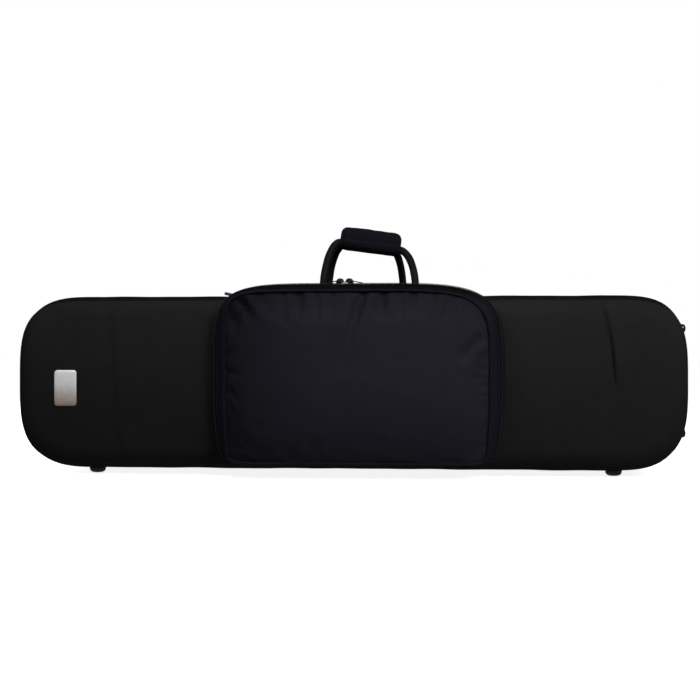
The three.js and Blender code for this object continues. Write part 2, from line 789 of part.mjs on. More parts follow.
// A D-shaped strap ring that lies flat. Its straight bar is on the origin and its bow towards -X.
function strapRing() {
  const points = [];
  for (let step = 0; step <= ringArcStepCount; step += 1) {
    const turn = (step / ringArcStepCount) * halfTurn;
    points.push(new THREE.Vector3(-ringReach * Math.sin(turn), ringHalfWidth * Math.cos(turn), 0));
  }
  return tubeLoop(points, new THREE.Vector3(0, 0, 1), ringWire, ringSideCount);
}

// Webbing folded round the ring's bar and sewn down behind it, its tail towards +X.
function ringTab() {
  const hole = ringWire + ringPlay;
  const outer = hole + webbing;
  const section = new THREE.Shape();
  const open = Math.asin((outer - webbing) / outer);
  section.absarc(0, 0, outer, -open, halfTurn + quarterTurn);
  section.lineTo(webbingTail, -outer);
  section.lineTo(webbingTail, webbing - outer);
  const eye = new THREE.Path();
  eye.absarc(0, 0, hole, 0, 2 * halfTurn);
  section.holes.push(eye);
  return closed(uprightPlate(section, webbingWidth, webbingStepCount).translate(0, -webbingWidth / 2, 0));
}

// The named mesh of one piece, placed in the group that carries it.
function place(parent, name, geometry, finish, at = [0, 0, 0]) {
  const mesh = new THREE.Mesh(geometry, finish);
  mesh.name = name;
  mesh.position.set(...at);
  parent.add(mesh);
  return mesh;
}

const tromboneCase = new THREE.Group();
const body = new THREE.Group();
body.position.set((coilStand - studReach) / 2, (pocketFront - halfDepth) / 2, shellMiddle);
tromboneCase.add(body);

const rear = new THREE.Group();
const front = new THREE.Group();
body.add(rear, front);

const halves = [
  { name: "rear", group: rear, side: 1, legs: [rearLegLeft, rearLegRight] },
  { name: "front", group: front, side: -1, legs: [frontLegLeft, frontLegRight] },
];

// What the two halves have alike: shell, zip, hinge tape, feet, studs and a handle loop.
for (const { name, group, side, legs } of halves) {
  place(group, `${name}_panel`, facePanel(side), materials.shellCloth);
  place(group, `${name}_side_band`, sideBand(side), materials.nylon);
  place(group, `${name}_zip_chain`, mainZipHalf(side), materials.zipTape);
  place(group, `${name}_hinge_tape`, hingeTape(side), materials.nylon);
  const feet = [["left", footLeftInset - shellEnd], ["right", shellEnd - footRightInset]];
  for (const [end, across] of feet) {
    const foot = closed(turnedFoot(footRadius, footTipRadius, footFlange, footHeight - fitGap).rotateX(quarterTurn));
    place(group, `${name}_foot_${end}`, foot, materials.footPlastic, [across, side * footDepth, -shellMiddle]);
  }
  const block = shellBlock(side);
  const studs = [["upper", studUp], ["lower", -studDown]];
  for (const [level, height] of studs) {
    const stud = turnedFoot(studRadius, studTipRadius, studRoot - studDome, studRoot).rotateZ(quarterTurn);
    stud.translate(shellEnd + studReach, side * studDepth, height);
    place(group, `${name}_end_stud_${level}`, fromSolid(toSolid(stud).subtract(block)), materials.footPlastic);
  }
  place(group, `${name}_handle_loop`, handleLoop(side, ...legs), materials.cord);
  const grip = place(group, `${name}_grip_wrap`, gripHalf(side), materials.nylon, [gripLeft, 0, gripLeftHeight]);
  grip.rotation.y = Math.atan2(gripLeftHeight - gripRightHeight, gripRight - gripLeft);
  const anchors = [["left", legs[0]], ["right", legs[1]]];
  for (const [end, across] of anchors) {
    const at = [across, side * loopStand, shellTop + fitGap];
    place(group, `${name}_handle_anchor_${end}`, handleAnchor(), materials.nylon, at);
  }
}

// Rear shell: the foam bed with its accessory box, the keeper straps and the shoulder strap's rings.
place(rear, "foam_bed", foamBed(), materials.plush);
const boxLidWidth = boxRight - boxLeft + 2 * (boxLidLedge - boxLidPlay);
const boxLidHeight = boxHigh - boxLow + 2 * (boxLidLedge - boxLidPlay);
const boxAcross = (boxLeft + boxRight) / 2;
const boxLidShape = roundedRectangle(boxLidWidth, boxLidHeight, recessCorner - boxLidPlay);
place(
  rear, "accessory_box_lid", closed(uprightPlate(boxLidShape, boxLidThickness, recessCornerStepCount)),
  materials.plush, [boxAcross, bedFront, (boxLow + boxHigh) / 2],
);
const boxTabShape = roundedRectangle(boxTabWidth, boxTabHeight, boxTabThickness);
place(
  rear, "accessory_box_tab", closed(uprightPlate(boxTabShape, boxTabThickness, 1)), materials.nylon,
  [boxAcross, bedFront - fitGap - boxTabThickness, (boxLow + boxHigh + boxLidHeight - boxTabHeight) / 2 - boxLidLedge],
);
for (const [end, share] of [["left", keeperLeftShare], ["right", keeperRightShare]]) {
  const across = slideLeft + share * slideLength;
  const shape = roundedRectangle(keeperWidth, slideHigh - slideLow + 2 * keeperLap, keeperCorner);
  const strap = closed(uprightPlate(shape, keeperThickness, recessCornerStepCount));
  const at = [across, bedFront - fitGap - keeperThickness, (slideLow + slideHigh) / 2];
  place(rear, `keeper_strap_${end}`, strap, materials.nylon, at);
}
for (const [end, across, turn, way] of [["left", ringLeft, 0, 1], ["right", ringRight, halfTurn, -1]]) {
  const at = [across, ringStand, shellTop + fitGap + ringWire + ringPlay + webbing];
  const ring = place(rear, `strap_ring_${end}`, strapRing(), materials.ringMetal, at);
  ring.rotation.set(0, way * ringTiltDegrees * degree, turn);
  place(rear, `strap_ring_tab_${end}`, ringTab(), materials.nylon, at).rotation.z = turn;
}

// Front shell: lining, badge and the music pocket.
place(front, "lid_liner", lidLiner(), materials.plush);
const badge = new THREE.ExtrudeGeometry(roundedRectangle(badgeWidth, badgeHeight, badgeCorner), {
  depth: badgeThickness - badgeBevel,
  bevelEnabled: true,
  bevelThickness: badgeBevel,
  bevelSize: badgeBevel,
  bevelOffset: -badgeBevel,
  bevelSegments: 2,
  curveSegments: recessCornerStepCount,
});
const badgeSolid = fromSolid(toSolid(badge).trimByPlane([0, 0, 1], 0));
place(
  front, "badge_plate", badgeSolid.rotateX(quarterTurn), materials.badgeMetal,
  [badgeInset - shellEnd, -halfDepth - fitGap, -badgeDrop],
);
place(front, "pocket_gusset", pocketGusset(shellBlock(-1)), materials.nylon);
place(front, "pocket_zip_chain_rear", pocketZipHalf(-1), materials.zipTape);
place(front, "pocket_flap", pocketFlap(), materials.nylon);
place(front, "pocket_zip_chain_front", pocketZipHalf(1), materials.zipTape);
place(front, "pocket_piping", pocketPiping(), materials.piping);

// Two sliders on each zip, back to back, with their pulls lying outwards.
const zips = [
  {
    name: "main", group: rear, share: 1, depth: 0, meeting: mainSliderMeeting, spacing: mainSliderSpacing,
    height: shellTop - tapeRebate + tapeSurface,
  },
  {
    name: "pocket", group: front, share: smallZipShare, depth: -pocketZip, meeting: pocketAcross - pocketMeetingInset,
    spacing: pocketSliderSpacing, height: pocketTop + fitGap + tapeThickness * smallZipShare,
  },
];
for (const { name, group, share, depth, meeting, spacing, height } of zips) {
  for (const [end, way] of [["left", -1], ["right", 1]]) {
    const across = meeting + (way * spacing) / 2;
    const slider = zipSlider(share);
    if (way < 0) slider.scale(-1, 1, 1);
    place(group, `${name}_slider_${end}`, closed(slider), materials.sliderMetal, [across, depth, height]);
    const pull = zipPull(share);
    if (way < 0) pull.rotateZ(halfTurn);
    const bar = [across, depth, height + bailHeight(share)];
    place(group, `${name}_pull_${end}`, closed(pull), materials.sliderMetal, bar);
  }
}

export default tromboneCase;
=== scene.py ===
import math

import bmesh
import bpy
import numpy as np
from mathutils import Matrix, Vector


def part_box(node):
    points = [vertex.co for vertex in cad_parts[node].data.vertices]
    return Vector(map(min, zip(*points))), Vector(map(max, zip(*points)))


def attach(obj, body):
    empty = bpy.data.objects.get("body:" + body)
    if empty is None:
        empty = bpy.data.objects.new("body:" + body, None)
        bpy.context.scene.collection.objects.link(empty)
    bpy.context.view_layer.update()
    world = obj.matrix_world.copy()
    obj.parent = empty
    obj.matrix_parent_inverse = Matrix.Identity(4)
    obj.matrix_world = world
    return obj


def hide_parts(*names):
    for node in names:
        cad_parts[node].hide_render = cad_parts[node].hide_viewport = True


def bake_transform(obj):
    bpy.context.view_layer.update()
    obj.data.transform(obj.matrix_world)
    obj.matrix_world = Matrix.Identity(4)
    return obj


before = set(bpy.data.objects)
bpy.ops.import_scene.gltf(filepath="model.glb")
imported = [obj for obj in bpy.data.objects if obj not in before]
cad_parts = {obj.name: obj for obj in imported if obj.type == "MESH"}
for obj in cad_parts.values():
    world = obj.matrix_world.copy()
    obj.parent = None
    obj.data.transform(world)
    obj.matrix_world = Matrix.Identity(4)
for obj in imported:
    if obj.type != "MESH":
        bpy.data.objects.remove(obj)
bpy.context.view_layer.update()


# Face panels of the two shells: black cloth bonded over foam that is moulded into a shallow dish.
# Each is sewn to its side band along the rolled edge, and the front panel's cloth has a soft crease at each
# end where the foam blank was bent into the mould.
half_names = (("rear", 1), ("front", -1))
rear_low, rear_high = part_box("rear_side_band")
front_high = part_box("front_side_band")[1]
across = (rear_low.x + rear_high.x) / 2
middle = (rear_low.z + rear_high.z) / 2
parting = (front_high.y + rear_low.y) / 2
half_length = (rear_high.x - rear_low.x) / 2
half_height = (rear_high.z - rear_low.z) / 2
half_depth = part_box("rear_panel")[1].y - parting
seam_depth = rear_high.y - parting
end_reach = 0.111
top_share = 3.6
bottom_share = 3.3
side_bulge = 0.007
end_bulge = 0.001
seam_gap = 0.0003
edge_radius = half_depth - seam_depth - seam_gap
panel_wall = 0.008
arc_steps = 84
straight_steps = 250


def smooth_step(low, high, value):
    """0 below low, 1 above high, and 3t^2 - 2t^3 between, where t is the share of the way."""
    t = np.clip((np.asarray(value, float) - low) / (high - low), 0, 1)
    return t * t * (3 - 2 * t)


def ripple(u, v, size):
    """Smooth unevenness between about -1 and 1: five crossed sines of unlike wavelengths."""
    k = 2 * math.pi / size
    waves = [(1.0, 0.31, 0.4), (-0.47, 0.83, 2.1), (0.71, -0.66, 4.4), (0.23, 1.37, 1.2), (1.61, 0.52, 5.3)]
    total = sum(np.sin(k * (a * u + b * v) + phase) for a, b, phase in waves)
    return total / 3.4


def even_curve(points, count):
    """Resamples rows of curve values at even arc length, measured on the first two rows."""
    run = np.hypot(np.diff(points[0]), np.diff(points[1]))
    length = np.concatenate([[0], np.cumsum(run)])
    at = np.linspace(0, length[-1], count + 1)[:-1]
    return np.stack([np.interp(at, length, row) for row in points])


def outline_units(arc_count, straight_count):
    """The shell's outline as unit arrays: which end's straight part, signed reach past it, and height.

    Each quarter is |b|^p + |c|^p = 1, evenly resampled, and the quarters join by straight lines.
    """
    turn = np.linspace(0, math.pi / 2, 600)
    pieces = []
    quarters = ((1, 1, top_share), (-1, 1, top_share), (-1, -1, bottom_share), (1, -1, bottom_share))
    for side, level, share in quarters:
        reach = np.cos(turn).clip(0) ** (2 / share)
        height = np.sin(turn).clip(0) ** (2 / share)
        if side * level < 0:
            reach, height = reach[::-1], height[::-1]
        curve = np.stack([side * reach * end_reach, level * height * half_height])
        even = even_curve(curve, arc_count)
        ends = np.full(arc_count, side, float)
        pieces.append(np.stack([ends, even[0] / end_reach, even[1] / half_height]))
        if side == level:
            run = np.linspace(side, -side, straight_count + 1)[:-1]
            pieces.append(np.stack([run, 0 * run, np.full(straight_count, level, float)]))
    return np.concatenate(pieces, axis=1)


def shell_rings(units, end_inset, side_inset, depth, side):
    """A row of outline rings, each drawn in at the ends and along the sides, at a depth from the zip."""
    straight, reach, height = units
    end, flank, deep = (np.reshape(v, (-1, 1)) for v in (end_inset, side_inset, depth))
    x = across + straight * (half_length - end_reach) + reach * (end_reach - end)
    z = middle + height * (half_height - flank)
    y = parting + side * deep + 0 * x
    return np.stack([x, y, z], axis=-1)


def lengths_along(points, axis):
    """Running length of a grid of points along one of its two directions, averaged over the other."""
    step = np.linalg.norm(np.diff(points, axis=axis), axis=-1).mean(axis=1 - axis)
    return np.concatenate([[0], np.cumsum(step)])


def grid_quads(rows, columns, wrap):
    """Corner numbers of a grid's four-sided faces, row by row, and the same in the wider UV grid."""
    last = columns if wrap else columns - 1
    r, c = np.meshgrid(np.arange(rows - 1), np.arange(last), indexing="ij")
    r, c = r.ravel(), c.ravel()
    after = (c + 1) % columns
    here, below = r * columns, (r + 1) * columns
    corners = np.stack([here + c, here + after, below + after, below + c], 1)
    here, below = r * (last + 1) + c, (r + 1) * (last + 1) + c
    return corners, np.stack([here, here + 1, below + 1, below], 1)


def cloth_places(points, wrap):
    """UV in metres: running length along the columns and along the rows."""
    closed = np.concatenate([points, points[:, :1]], axis=1) if wrap else points
    u = lengths_along(closed, 1)
    v = lengths_along(closed, 0)
    return np.stack(np.broadcast_arrays(u[None, :], v[:, None]), axis=-1)


def mesh_from(name, sheets, merge=1e-6, sharp=None):
    """One mesh of grids of points. A sheet is a grid closed round its columns, or (points, wrap, uv).

    A sheet's points may stack copies of one shape. Doubles merge, and the faces are turned outwards.
    """
    corners, spots, faces, start = [], [], [], 0
    for sheet in sheets:
        points, wrap, uv = sheet if isinstance(sheet, tuple) else (sheet, True, None)
        stack = points.reshape((-1,) + points.shape[-3:])
        copies, rows, columns = stack.shape[:3]
        quads, places = grid_quads(rows, columns, wrap)
        size = rows * columns
        shift = start + np.arange(copies)[:, None, None] * size
        faces.append((quads[None] + shift).reshape(-1, 4))
        corners.append(stack.reshape(-1, 3))
        if uv is None:
            uv = cloth_places(stack[0], wrap)
        spot = uv.reshape(-1, 2)[places]
        spots.append(np.broadcast_to(spot, (copies,) + spot.shape).reshape(-1, 2))
        start += copies * size
    mesh = bpy.data.meshes.new(name)
    mesh.from_pydata(np.concatenate(corners).tolist(), [], np.concatenate(faces).tolist())
    layer = mesh.uv_layers.new(name="cloth")
    layer.data.foreach_set("uv", np.concatenate(spots).astype(np.float32).ravel())
    work = bmesh.new()
    work.from_mesh(mesh)
    bmesh.ops.remove_doubles(work, verts=work.verts, dist=merge)
    bmesh.ops.dissolve_degenerate(work, edges=work.edges, dist=merge / 2)
    if work.calc_volume(signed=True) < 0:
        bmesh.ops.reverse_faces(work, faces=work.faces)
    work.to_mesh(mesh)
    work.free()
    mesh.shade_smooth()
    if sharp is not None:
        mesh.set_sharp_from_angle(angle=math.radians(sharp))
    return mesh


def add_piece(name, body, mesh, material, replaced=()):
    """Puts a finished mesh in the scene, riding on one body or on none."""
    piece = bpy.data.objects.new(name, mesh)
    bpy.context.scene.collection.objects.link(piece)
    mesh.materials.append(material)
    if body:
        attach(piece, body)
    if replaced:
        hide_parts(*replaced)
    return piece


def add_shape(name, body, sheets, material, replaced=(), merge=1e-6, sharp=None):
    """Makes a mesh of its sheets and puts it in the scene as a piece of the same name."""
    return add_piece(name, body, mesh_from(name, sheets, merge, sharp), material, replaced)


def add_node(tree, kind, inputs=(), **settings):
    """A shader node with its settings, its inputs given as values or as the sockets that feed them."""
    node = tree.nodes.new(kind)
    for key, value in settings.items():
        setattr(node, key, value)
    for key, value in dict(inputs).items():
        if isinstance(value, bpy.types.NodeSocket):
            tree.links.new(value, node.inputs[key])
        else:
            node.inputs[key].default_value = value
    return node


def math_node(tree, operation, *values):
    """The result of one Math node."""
    node = add_node(tree, "ShaderNodeMath", operation=operation)
    for i, value in enumerate(values):
        if isinstance(value, bpy.types.NodeSocket):
            tree.links.new(value, node.inputs[i])
        else:
            node.inputs[i].default_value = value
    return node.outputs[0]


def ranged(tree, value, low, high, to_low, to_high, curve="LINEAR"):
    """to_low plus the value's share of low to high times (to_high - to_low), the share kept in 0 to 1."""
    return add_node(tree, "ShaderNodeMapRange", {
        "Value": value, "From Min": low, "From Max": high, "To Min": to_low, "To Max": to_high},
        interpolation_type=curve).outputs["Result"]


def between(tree, share, dark, light):
    """The dark colour times (1 - share) plus the light one times the share."""
    mix = add_node(tree, "ShaderNodeMix", {"Factor": share, "A": dark, "B": light}, data_type="RGBA")
    return mix.outputs["Result"]


def noise(tree, vector, scale, detail, **more):
    """The grey of a noise texture."""
    given = {"Vector": vector, "Scale": scale, "Detail": detail}
    given.update(more)
    return add_node(tree, "ShaderNodeTexNoise", given).outputs["Fac"]


def new_group(name, inputs, outputs):
    """An empty shader node group with its sockets, and its input and output nodes."""
    group = bpy.data.node_groups.new(name, "ShaderNodeTree")
    for label, kind in inputs:
        group.interface.new_socket(label, in_out="INPUT", socket_type=kind)
    for label, kind in outputs:
        group.interface.new_socket(label, in_out="OUTPUT", socket_type=kind)
    return group, group.nodes.new("NodeGroupInput"), group.nodes.new("NodeGroupOutput")


def weave_group():
    """Plain weave: Height is the pillow of each crossing. Shade is each yarn's own tone with painted light in
    it: painted shade between the crossings and a painted sheen that tells warp from weft.
    """
    group, given, out = new_group(
        "weave",
        (("Vector", "NodeSocketVector"), ("Pitch", "NodeSocketFloat")),
        (("Height", "NodeSocketFloat"), ("Shade", "NodeSocketFloat")),
    )
    rate = math_node(group, "DIVIDE", math.pi, given.outputs["Pitch"])
    split = add_node(group, "ShaderNodeSeparateXYZ", {"Vector": given.outputs["Vector"]})
    warp = math_node(group, "SINE", math_node(group, "MULTIPLY", split.outputs["X"], rate))
    weft = math_node(group, "SINE", math_node(group, "MULTIPLY", split.outputs["Y"], rate))
    crossing = math_node(group, "MULTIPLY", warp, weft)
    pillow = math_node(group, "POWER", math_node(group, "ABSOLUTE", crossing), 0.5)
    side = math_node(group, "SIGN", crossing)
    yarn = noise(group, given.outputs["Vector"], 900.0, 2.0)
    uneven = math_node(group, "MULTIPLY_ADD", yarn, 0.5, 0.75)
    # Painted sheen: warp and weft get unlike tones, as if each yarn's direction caught the light differently.
    turned = math_node(group, "MULTIPLY_ADD", side, 0.09, uneven)
    lowered = math_node(group, "SUBTRACT", turned, 0.1)
    group.links.new(pillow, out.inputs["Height"])
    # Painted shade: Shade is darker in the hollows between the crossings.
    group.links.new(math_node(group, "MULTIPLY_ADD", pillow, 0.15, lowered), out.inputs["Shade"])
    return group


def wear_group():
    """Use and dust: Cloud is a broad unevenness, Rub a streaky fading and Lint a few pale specks."""
    group, given, out = new_group(
        "wear",
        (("Vector", "NodeSocketVector"), ("Scale", "NodeSocketFloat")),
        (("Cloud", "NodeSocketFloat"), ("Rub", "NodeSocketFloat"), ("Lint", "NodeSocketFloat")),
    )
    vector, scale = given.outputs["Vector"], given.outputs["Scale"]
    specks = add_node(group, "ShaderNodeTexVoronoi", {
        "Vector": vector, "Scale": math_node(group, "MULTIPLY", scale, 26.0)})
    results = (
        ("Cloud", noise(group, vector, scale, 3.0)),
        ("Rub", noise(group, vector, math_node(group, "MULTIPLY", scale, 9.0), 5.0, Roughness=0.65)),
        ("Lint", ranged(group, specks.outputs["Distance"], 0.0, 0.07, 1.0, 0.0)),
    )
    for label, result in results:
        group.links.new(result, out.inputs[label])
    return group


weave = weave_group()
wear = wear_group()
lint_grey = (96, 96, 100)


def colour(red, green, blue, share=1.0):
    """A scene-linear colour from 0 to 255 screen values, times a share."""
    screen = np.array([red, green, blue]) / 255
    linear = np.where(screen <= 0.04045, screen / 12.92, ((screen + 0.055) / 1.055) ** 2.4)
    return (*(linear * share).tolist(), 1.0)


def start_material(name, scale, uniform):
    """A new material with its uniform values set: itself, its nodes, shader, Object coordinates and wear."""
    material = bpy.data.materials.new(name)
    material.use_nodes = True
    tree = material.node_tree
    shader = tree.nodes["Principled BSDF"]
    for label, value in uniform.items():
        shader.inputs[label].default_value = value
    here = add_node(tree, "ShaderNodeTexCoord").outputs["Object"]
    if scale is None:
        return material, tree, shader, here, None
    use = add_node(tree, "ShaderNodeGroup", {"Vector": here, "Scale": scale}, node_tree=wear)
    return material, tree, shader, here, use.outputs


def feed(tree, shader, base, rough, height=None, distance=0.0, strength=0.0):
    """Links the shader's colour and roughness, and a bump where a height is given."""
    tree.links.new(base, shader.inputs["Base Color"])
    tree.links.new(rough, shader.inputs["Roughness"])
    if height is not None:
        relief = {"Height": height, "Distance": distance, "Strength": strength}
        bump = add_node(tree, "ShaderNodeBump", relief)
        tree.links.new(bump.outputs["Normal"], shader.inputs["Normal"])


def painted_shade(tree, vector, depth, shade_fades):
    """Painted shade: a depth of colour times smooth steps over the object's places, darker where the light
    falls off. Each fade is its axis, its start and end, and its least share.
    """
    split = add_node(tree, "ShaderNodeSeparateXYZ", {"Vector": vector})
    for axis, start, end, least in shade_fades:
        step = ranged(tree, split.outputs[axis], start, end, least, 1.0, "SMOOTHSTEP")
        depth = math_node(tree, "MULTIPLY", depth, step)
    return depth


def cloth_material(name, dark, light, pitch, relief, roughness, specular, cloud=7.0, lint=0.25, shade_fades=()):
    """Woven cloth: two shades clouded together, darkened between the yarns as painted shade, darkened by
    place where fades are given as painted shade too, and with the weave as relief.
    """
    material, tree, shader, here, use = start_material(
        name, cloud, {"Specular IOR Level": specular, "Sheen Roughness": 0.45})
    places = add_node(tree, "ShaderNodeUVMap", uv_map="cloth")
    laid = {"Vector": places.outputs["UV"], "Pitch": pitch}
    yarns = add_node(tree, "ShaderNodeGroup", laid, node_tree=weave)
    half_cloud = math_node(tree, "MULTIPLY", use["Cloud"], 0.5)
    level = math_node(tree, "MULTIPLY_ADD", use["Rub"], 0.5, half_cloud)
    base = between(tree, ranged(tree, level, 0.36, 0.64, 0.0, 1.0), colour(*dark), colour(*light))
    # Painted shade: the weave's darker hollows and any darkening by place scale the colour here.
    depth = painted_shade(tree, here, yarns.outputs["Shade"], shade_fades)
    shaded = add_node(tree, "ShaderNodeVectorMath", {0: base, "Scale": depth}, operation="SCALE")
    specks = math_node(tree, "MULTIPLY", use["Lint"], lint)
    dusty = between(tree, specks, shaded.outputs[0], colour(*lint_grey))
    rough = ranged(tree, use["Rub"], 0.3, 0.7, roughness - 0.06, roughness + 0.06)
    feed(tree, shader, dusty, rough, yarns.outputs["Height"], relief, 0.8)
    return material


# Painted shade: the shell cloth is darker towards its left end and towards the bottom.
shell_cloth = cloth_material(
    "shell cloth", (29, 29, 29), (34, 34, 34), pitch=0.0009, relief=0.00025, roughness=0.8,
    specular=0.05, shade_fades=(("X", -0.3, 0.1, 0.9), ("Z", 0.05, 0.24, 0.74)))


left_crease = (((-0.100, -0.322), (0.01, -0.330), (0.112, -0.333)), 0.0018, 0.006, 0.030)
right_crease = (((0.002, 0.370), (0.070, 0.368), (0.118, 0.351)), 0.0042, 0.0026, 0.020)
crown_height = 0.0045
crown_reach = 0.096
tuck_depth = 0.0002
tuck_width = 0.0016
face_waviness = 0.0003
face_unevenness = 0.00008
relief_fade = (0.004, 0.02)
units = outline_units(arc_steps, straight_steps)


def crown(z):
    """How far the face is domed at a height from the shell's centre: c (0.08 - |z / 0.1|^2.2)."""
    return crown_height * (0.08 - (np.minimum(np.abs(z), crown_reach) / 0.1) ** 2.2)


def crease(x, z, line, height, width, fall):
    """A fold along a bent line of (z, x) points: a dent, a steep rise to its right, and a slow fall."""
    low, knee, high = (np.array(p) for p in line)
    t = np.linspace(0, 1, 60)[:, None]
    curve = (1 - t) ** 2 * low + 2 * t * (1 - t) * knee + t ** 2 * high
    beyond = x - np.interp(z, curve[:, 0], curve[:, 1])
    inside = smooth_step(low[0] - 0.014, low[0] + 0.016, z)
    inside = inside * (1 - smooth_step(high[0] - 0.016, high[0] + 0.01, z))
    rise = smooth_step(-0.9 * width, 1.1 * width, beyond) * (1 - smooth_step(1.4 * width, fall, beyond))
    dent = 0.4 * np.exp(-((beyond + 0.8 * width) / (1.2 * width)) ** 2)
    return height * inside * (rise - dent)


def face_relief(x, z, side):
    """Depth that the face cloth stands out or lies in: a dome, a slight waviness, two creases in front."""
    relief = crown(z) + face_waviness * ripple(x, z, 0.19) + face_unevenness * ripple(z, x, 0.045)
    if side < 0:
        relief = relief + crease(x, z, *left_crease) + crease(x, z, *right_crease)
    return relief


def panel_rows(radius, wall, rows_on_edge, rows_on_face):
    """Inset, depth and distance inwards from the seam of a rolled edge and the flat face behind it."""
    turn = np.linspace(0, math.pi / 2, rows_on_edge)
    edge_inset = wall + radius * (1 - np.cos(turn))
    edge_deep = seam_depth + seam_gap + radius * np.sin(turn)
    face_inset = np.linspace(edge_inset[-1], end_reach - end_bulge, rows_on_face)[1:]
    inset = np.concatenate([edge_inset, face_inset])
    deep = np.concatenate([edge_deep, np.full(face_inset.shape, edge_deep[-1])])
    run = np.concatenate([radius * turn, radius * math.pi / 2 + face_inset - face_inset[0]])
    return inset, deep, run


def flat_places(rings):
    """UV in metres for closed rings seen from the front: across and up, with the first column again last."""
    return np.concatenate([rings, rings[:, :1]], axis=1)[..., [0, 2]]


def face_panel(side):
    """The dish of one shell: its outer skin from seam to centre line, and the inner skin a wall below."""
    inset, deep, run = panel_rows(edge_radius, 0, 18, 62 if side < 0 else 26)
    end = np.append(end_bulge + inset, end_reach)
    flank = np.append(side_bulge + inset, half_height)
    deep = np.append(deep, deep[-1])
    run = np.append(run, run[-1] + side_bulge)
    outer = shell_rings(units, end, flank, deep, side)
    laid_out = run - edge_radius * (math.pi / 2 - 1)
    flat = shell_rings(units, end_bulge + laid_out, side_bulge + laid_out, deep, side)
    fade = smooth_step(*relief_fade, run)[:, None]
    outer[..., 1] += side * fade * face_relief(outer[..., 0] - across, outer[..., 2] - middle, side)
    outer[..., 1] -= side * tuck_depth * np.exp(-(run / tuck_width) ** 2)[:, None]
    inset, deep, _ = panel_rows(edge_radius - panel_wall, panel_wall, 5, 7)
    end = np.append(end_bulge + inset, end_reach)
    flank = np.append(side_bulge + inset, half_height)
    inner = shell_rings(units, end[::-1], flank[::-1], np.append(deep, deep[-1])[::-1], side)
    return np.concatenate([inner, outer]), True, np.concatenate([flat_places(inner), flat_places(flat)])


for half, side in half_names:
    panel = add_shape(f"{half}_face_panel", f"{half}_half", [face_panel(side)], shell_cloth,
                      [f"{half}_panel"])


# Side bands: one strip of bluish-black nylon round each shell, quilted to thin foam. It is turned in
# at the zip, where the tape lies in a shallow step, and sewn to the face panel with its edge puckered.
zip_step = 0.002
zip_step_end = 0.00945
zip_gap = 0.00015
bulge_start = 0.070
groove_depth = 0.0012
groove_width = 0.0011
pucker_height = 0.00028
pucker_back = 0.003
pucker_width = 0.0045
band_waviness = 0.0005
band_depths = np.concatenate([
    np.linspace(zip_gap, 0.009, 4), np.linspace(0.0095, 0.0118, 6),
    np.linspace(0.0135, 0.091, 36), np.linspace(0.0918, seam_depth, 8)])
side_nylon = cloth_material(
    "side nylon", (9, 8, 13), (13, 12, 18), pitch=0.0007, relief=0.0002, roughness=0.75,
    specular=0.05)


def band_rows(deep):
    """End and side inset of the band at each depth: a step for the zip, level, then drawn in to the seam."""
    step = zip_step * (1 - smooth_step(zip_step_end, zip_step_end + zip_step, deep))
    share = np.clip((deep - bulge_start) / (seam_depth - bulge_start), 0, 1) ** 2
    groove = groove_depth * np.exp(-((deep - seam_depth) / groove_width) ** 2)
    return step + end_bulge * share + groove, step + side_bulge * share + groove


def side_band(side):
    """The band as a closed skin: outer rows from the zip to the seam, and the inner wall.

    The outer rows stand out by two sines of their run near the seam, and by a soft ripple elsewhere.
    """
    deep = band_depths
    end, flank = band_rows(deep)
    outer = shell_rings(units, end, flank, deep, side)
    run = lengths_along(np.concatenate([outer, outer[:, :1]], axis=1), 1)[:-1]
    pucker = np.exp(-((deep - seam_depth + pucker_back) / pucker_width) ** 2)[:, None]
    waves = 0.5 * np.sin(2 * math.pi * run / 0.0113) + 0.5 * np.sin(2 * math.pi * run / 0.0187 + 1.3)
    body = (smooth_step(0.012, 0.02, deep) * (1 - smooth_step(0.088, 0.094, deep)))[:, None]
    lift = pucker_height * pucker * waves + band_waviness * body * ripple(run[None, :], deep[:, None], 0.11)
    out = outer - [across, 0, middle]
    out[..., 1] = 0
    out[:, np.abs(units[0]) < 1, 0] = 0
    out /= np.linalg.norm(out, axis=-1, keepdims=True)
    outer = outer + out * lift[..., None]
    end, flank = [end_bulge + panel_wall] * 2, [side_bulge + panel_wall] * 2
    inner = shell_rings(units, end, flank, [seam_depth, zip_gap], side)
    return np.concatenate([outer, inner, outer[:1]])


for half, side in half_names:
    add_shape(f"{half}_band", f"{half}_half", [side_band(side)], side_nylon,
              [f"{half}_side_band"], sharp=50)


# Stitching along the panel seams: bonded black thread in a lockstitch, set 3.4 mm behind the seam.
thread_radius = 0.00028
thread_flatness = 1.5
stitch_pitch = 0.0042
stitch_length = 0.0031
seam_stitch_back = 0.0034
stitch_lift = 0.0001


def smooth_material(name, dark, light, roughness, scale, uniform, swapped=False, span=(0.0, 1.0),
                    relief=0.0, strength=0.0):
    """Thread, plastic or plated metal: two tones and two roughnesses, each mixed by the wear group.

    The streaks mix the tones and the clouds the roughness, or the other way round where they are swapped.
    """
    material, tree, shader, _, use = start_material(name, scale, uniform)
    tone, gloss = (use["Cloud"], use["Rub"]) if swapped else (use["Rub"], use["Cloud"])
    rough = ranged(tree, gloss, *span, *roughness)
    height = use["Rub"] if relief else None
    feed(tree, shader, between(tree, tone, dark, light), rough, height, relief, strength)
    return material


thread = smooth_material(
    "bonded thread", colour(34, 34, 38, 0.6), colour(34, 34, 38, 1.5), (0.4, 0.6), 60.0,
    {"Specular IOR Level": 0.3})


def path_frame(points, closed):
    """Unit tangents of a row of points."""
    if closed:
        ahead = np.roll(points, -1, axis=0) - np.roll(points, 1, axis=0)
    else:
        ahead = np.gradient(points, axis=0)
    return ahead / np.linalg.norm(ahead, axis=-1, keepdims=True)


def run_along(line):
    """Running length along a row of points: the sum of the steps up to each."""
    return np.concatenate([[0], np.cumsum(np.linalg.norm(np.diff(line, axis=0), axis=-1))])


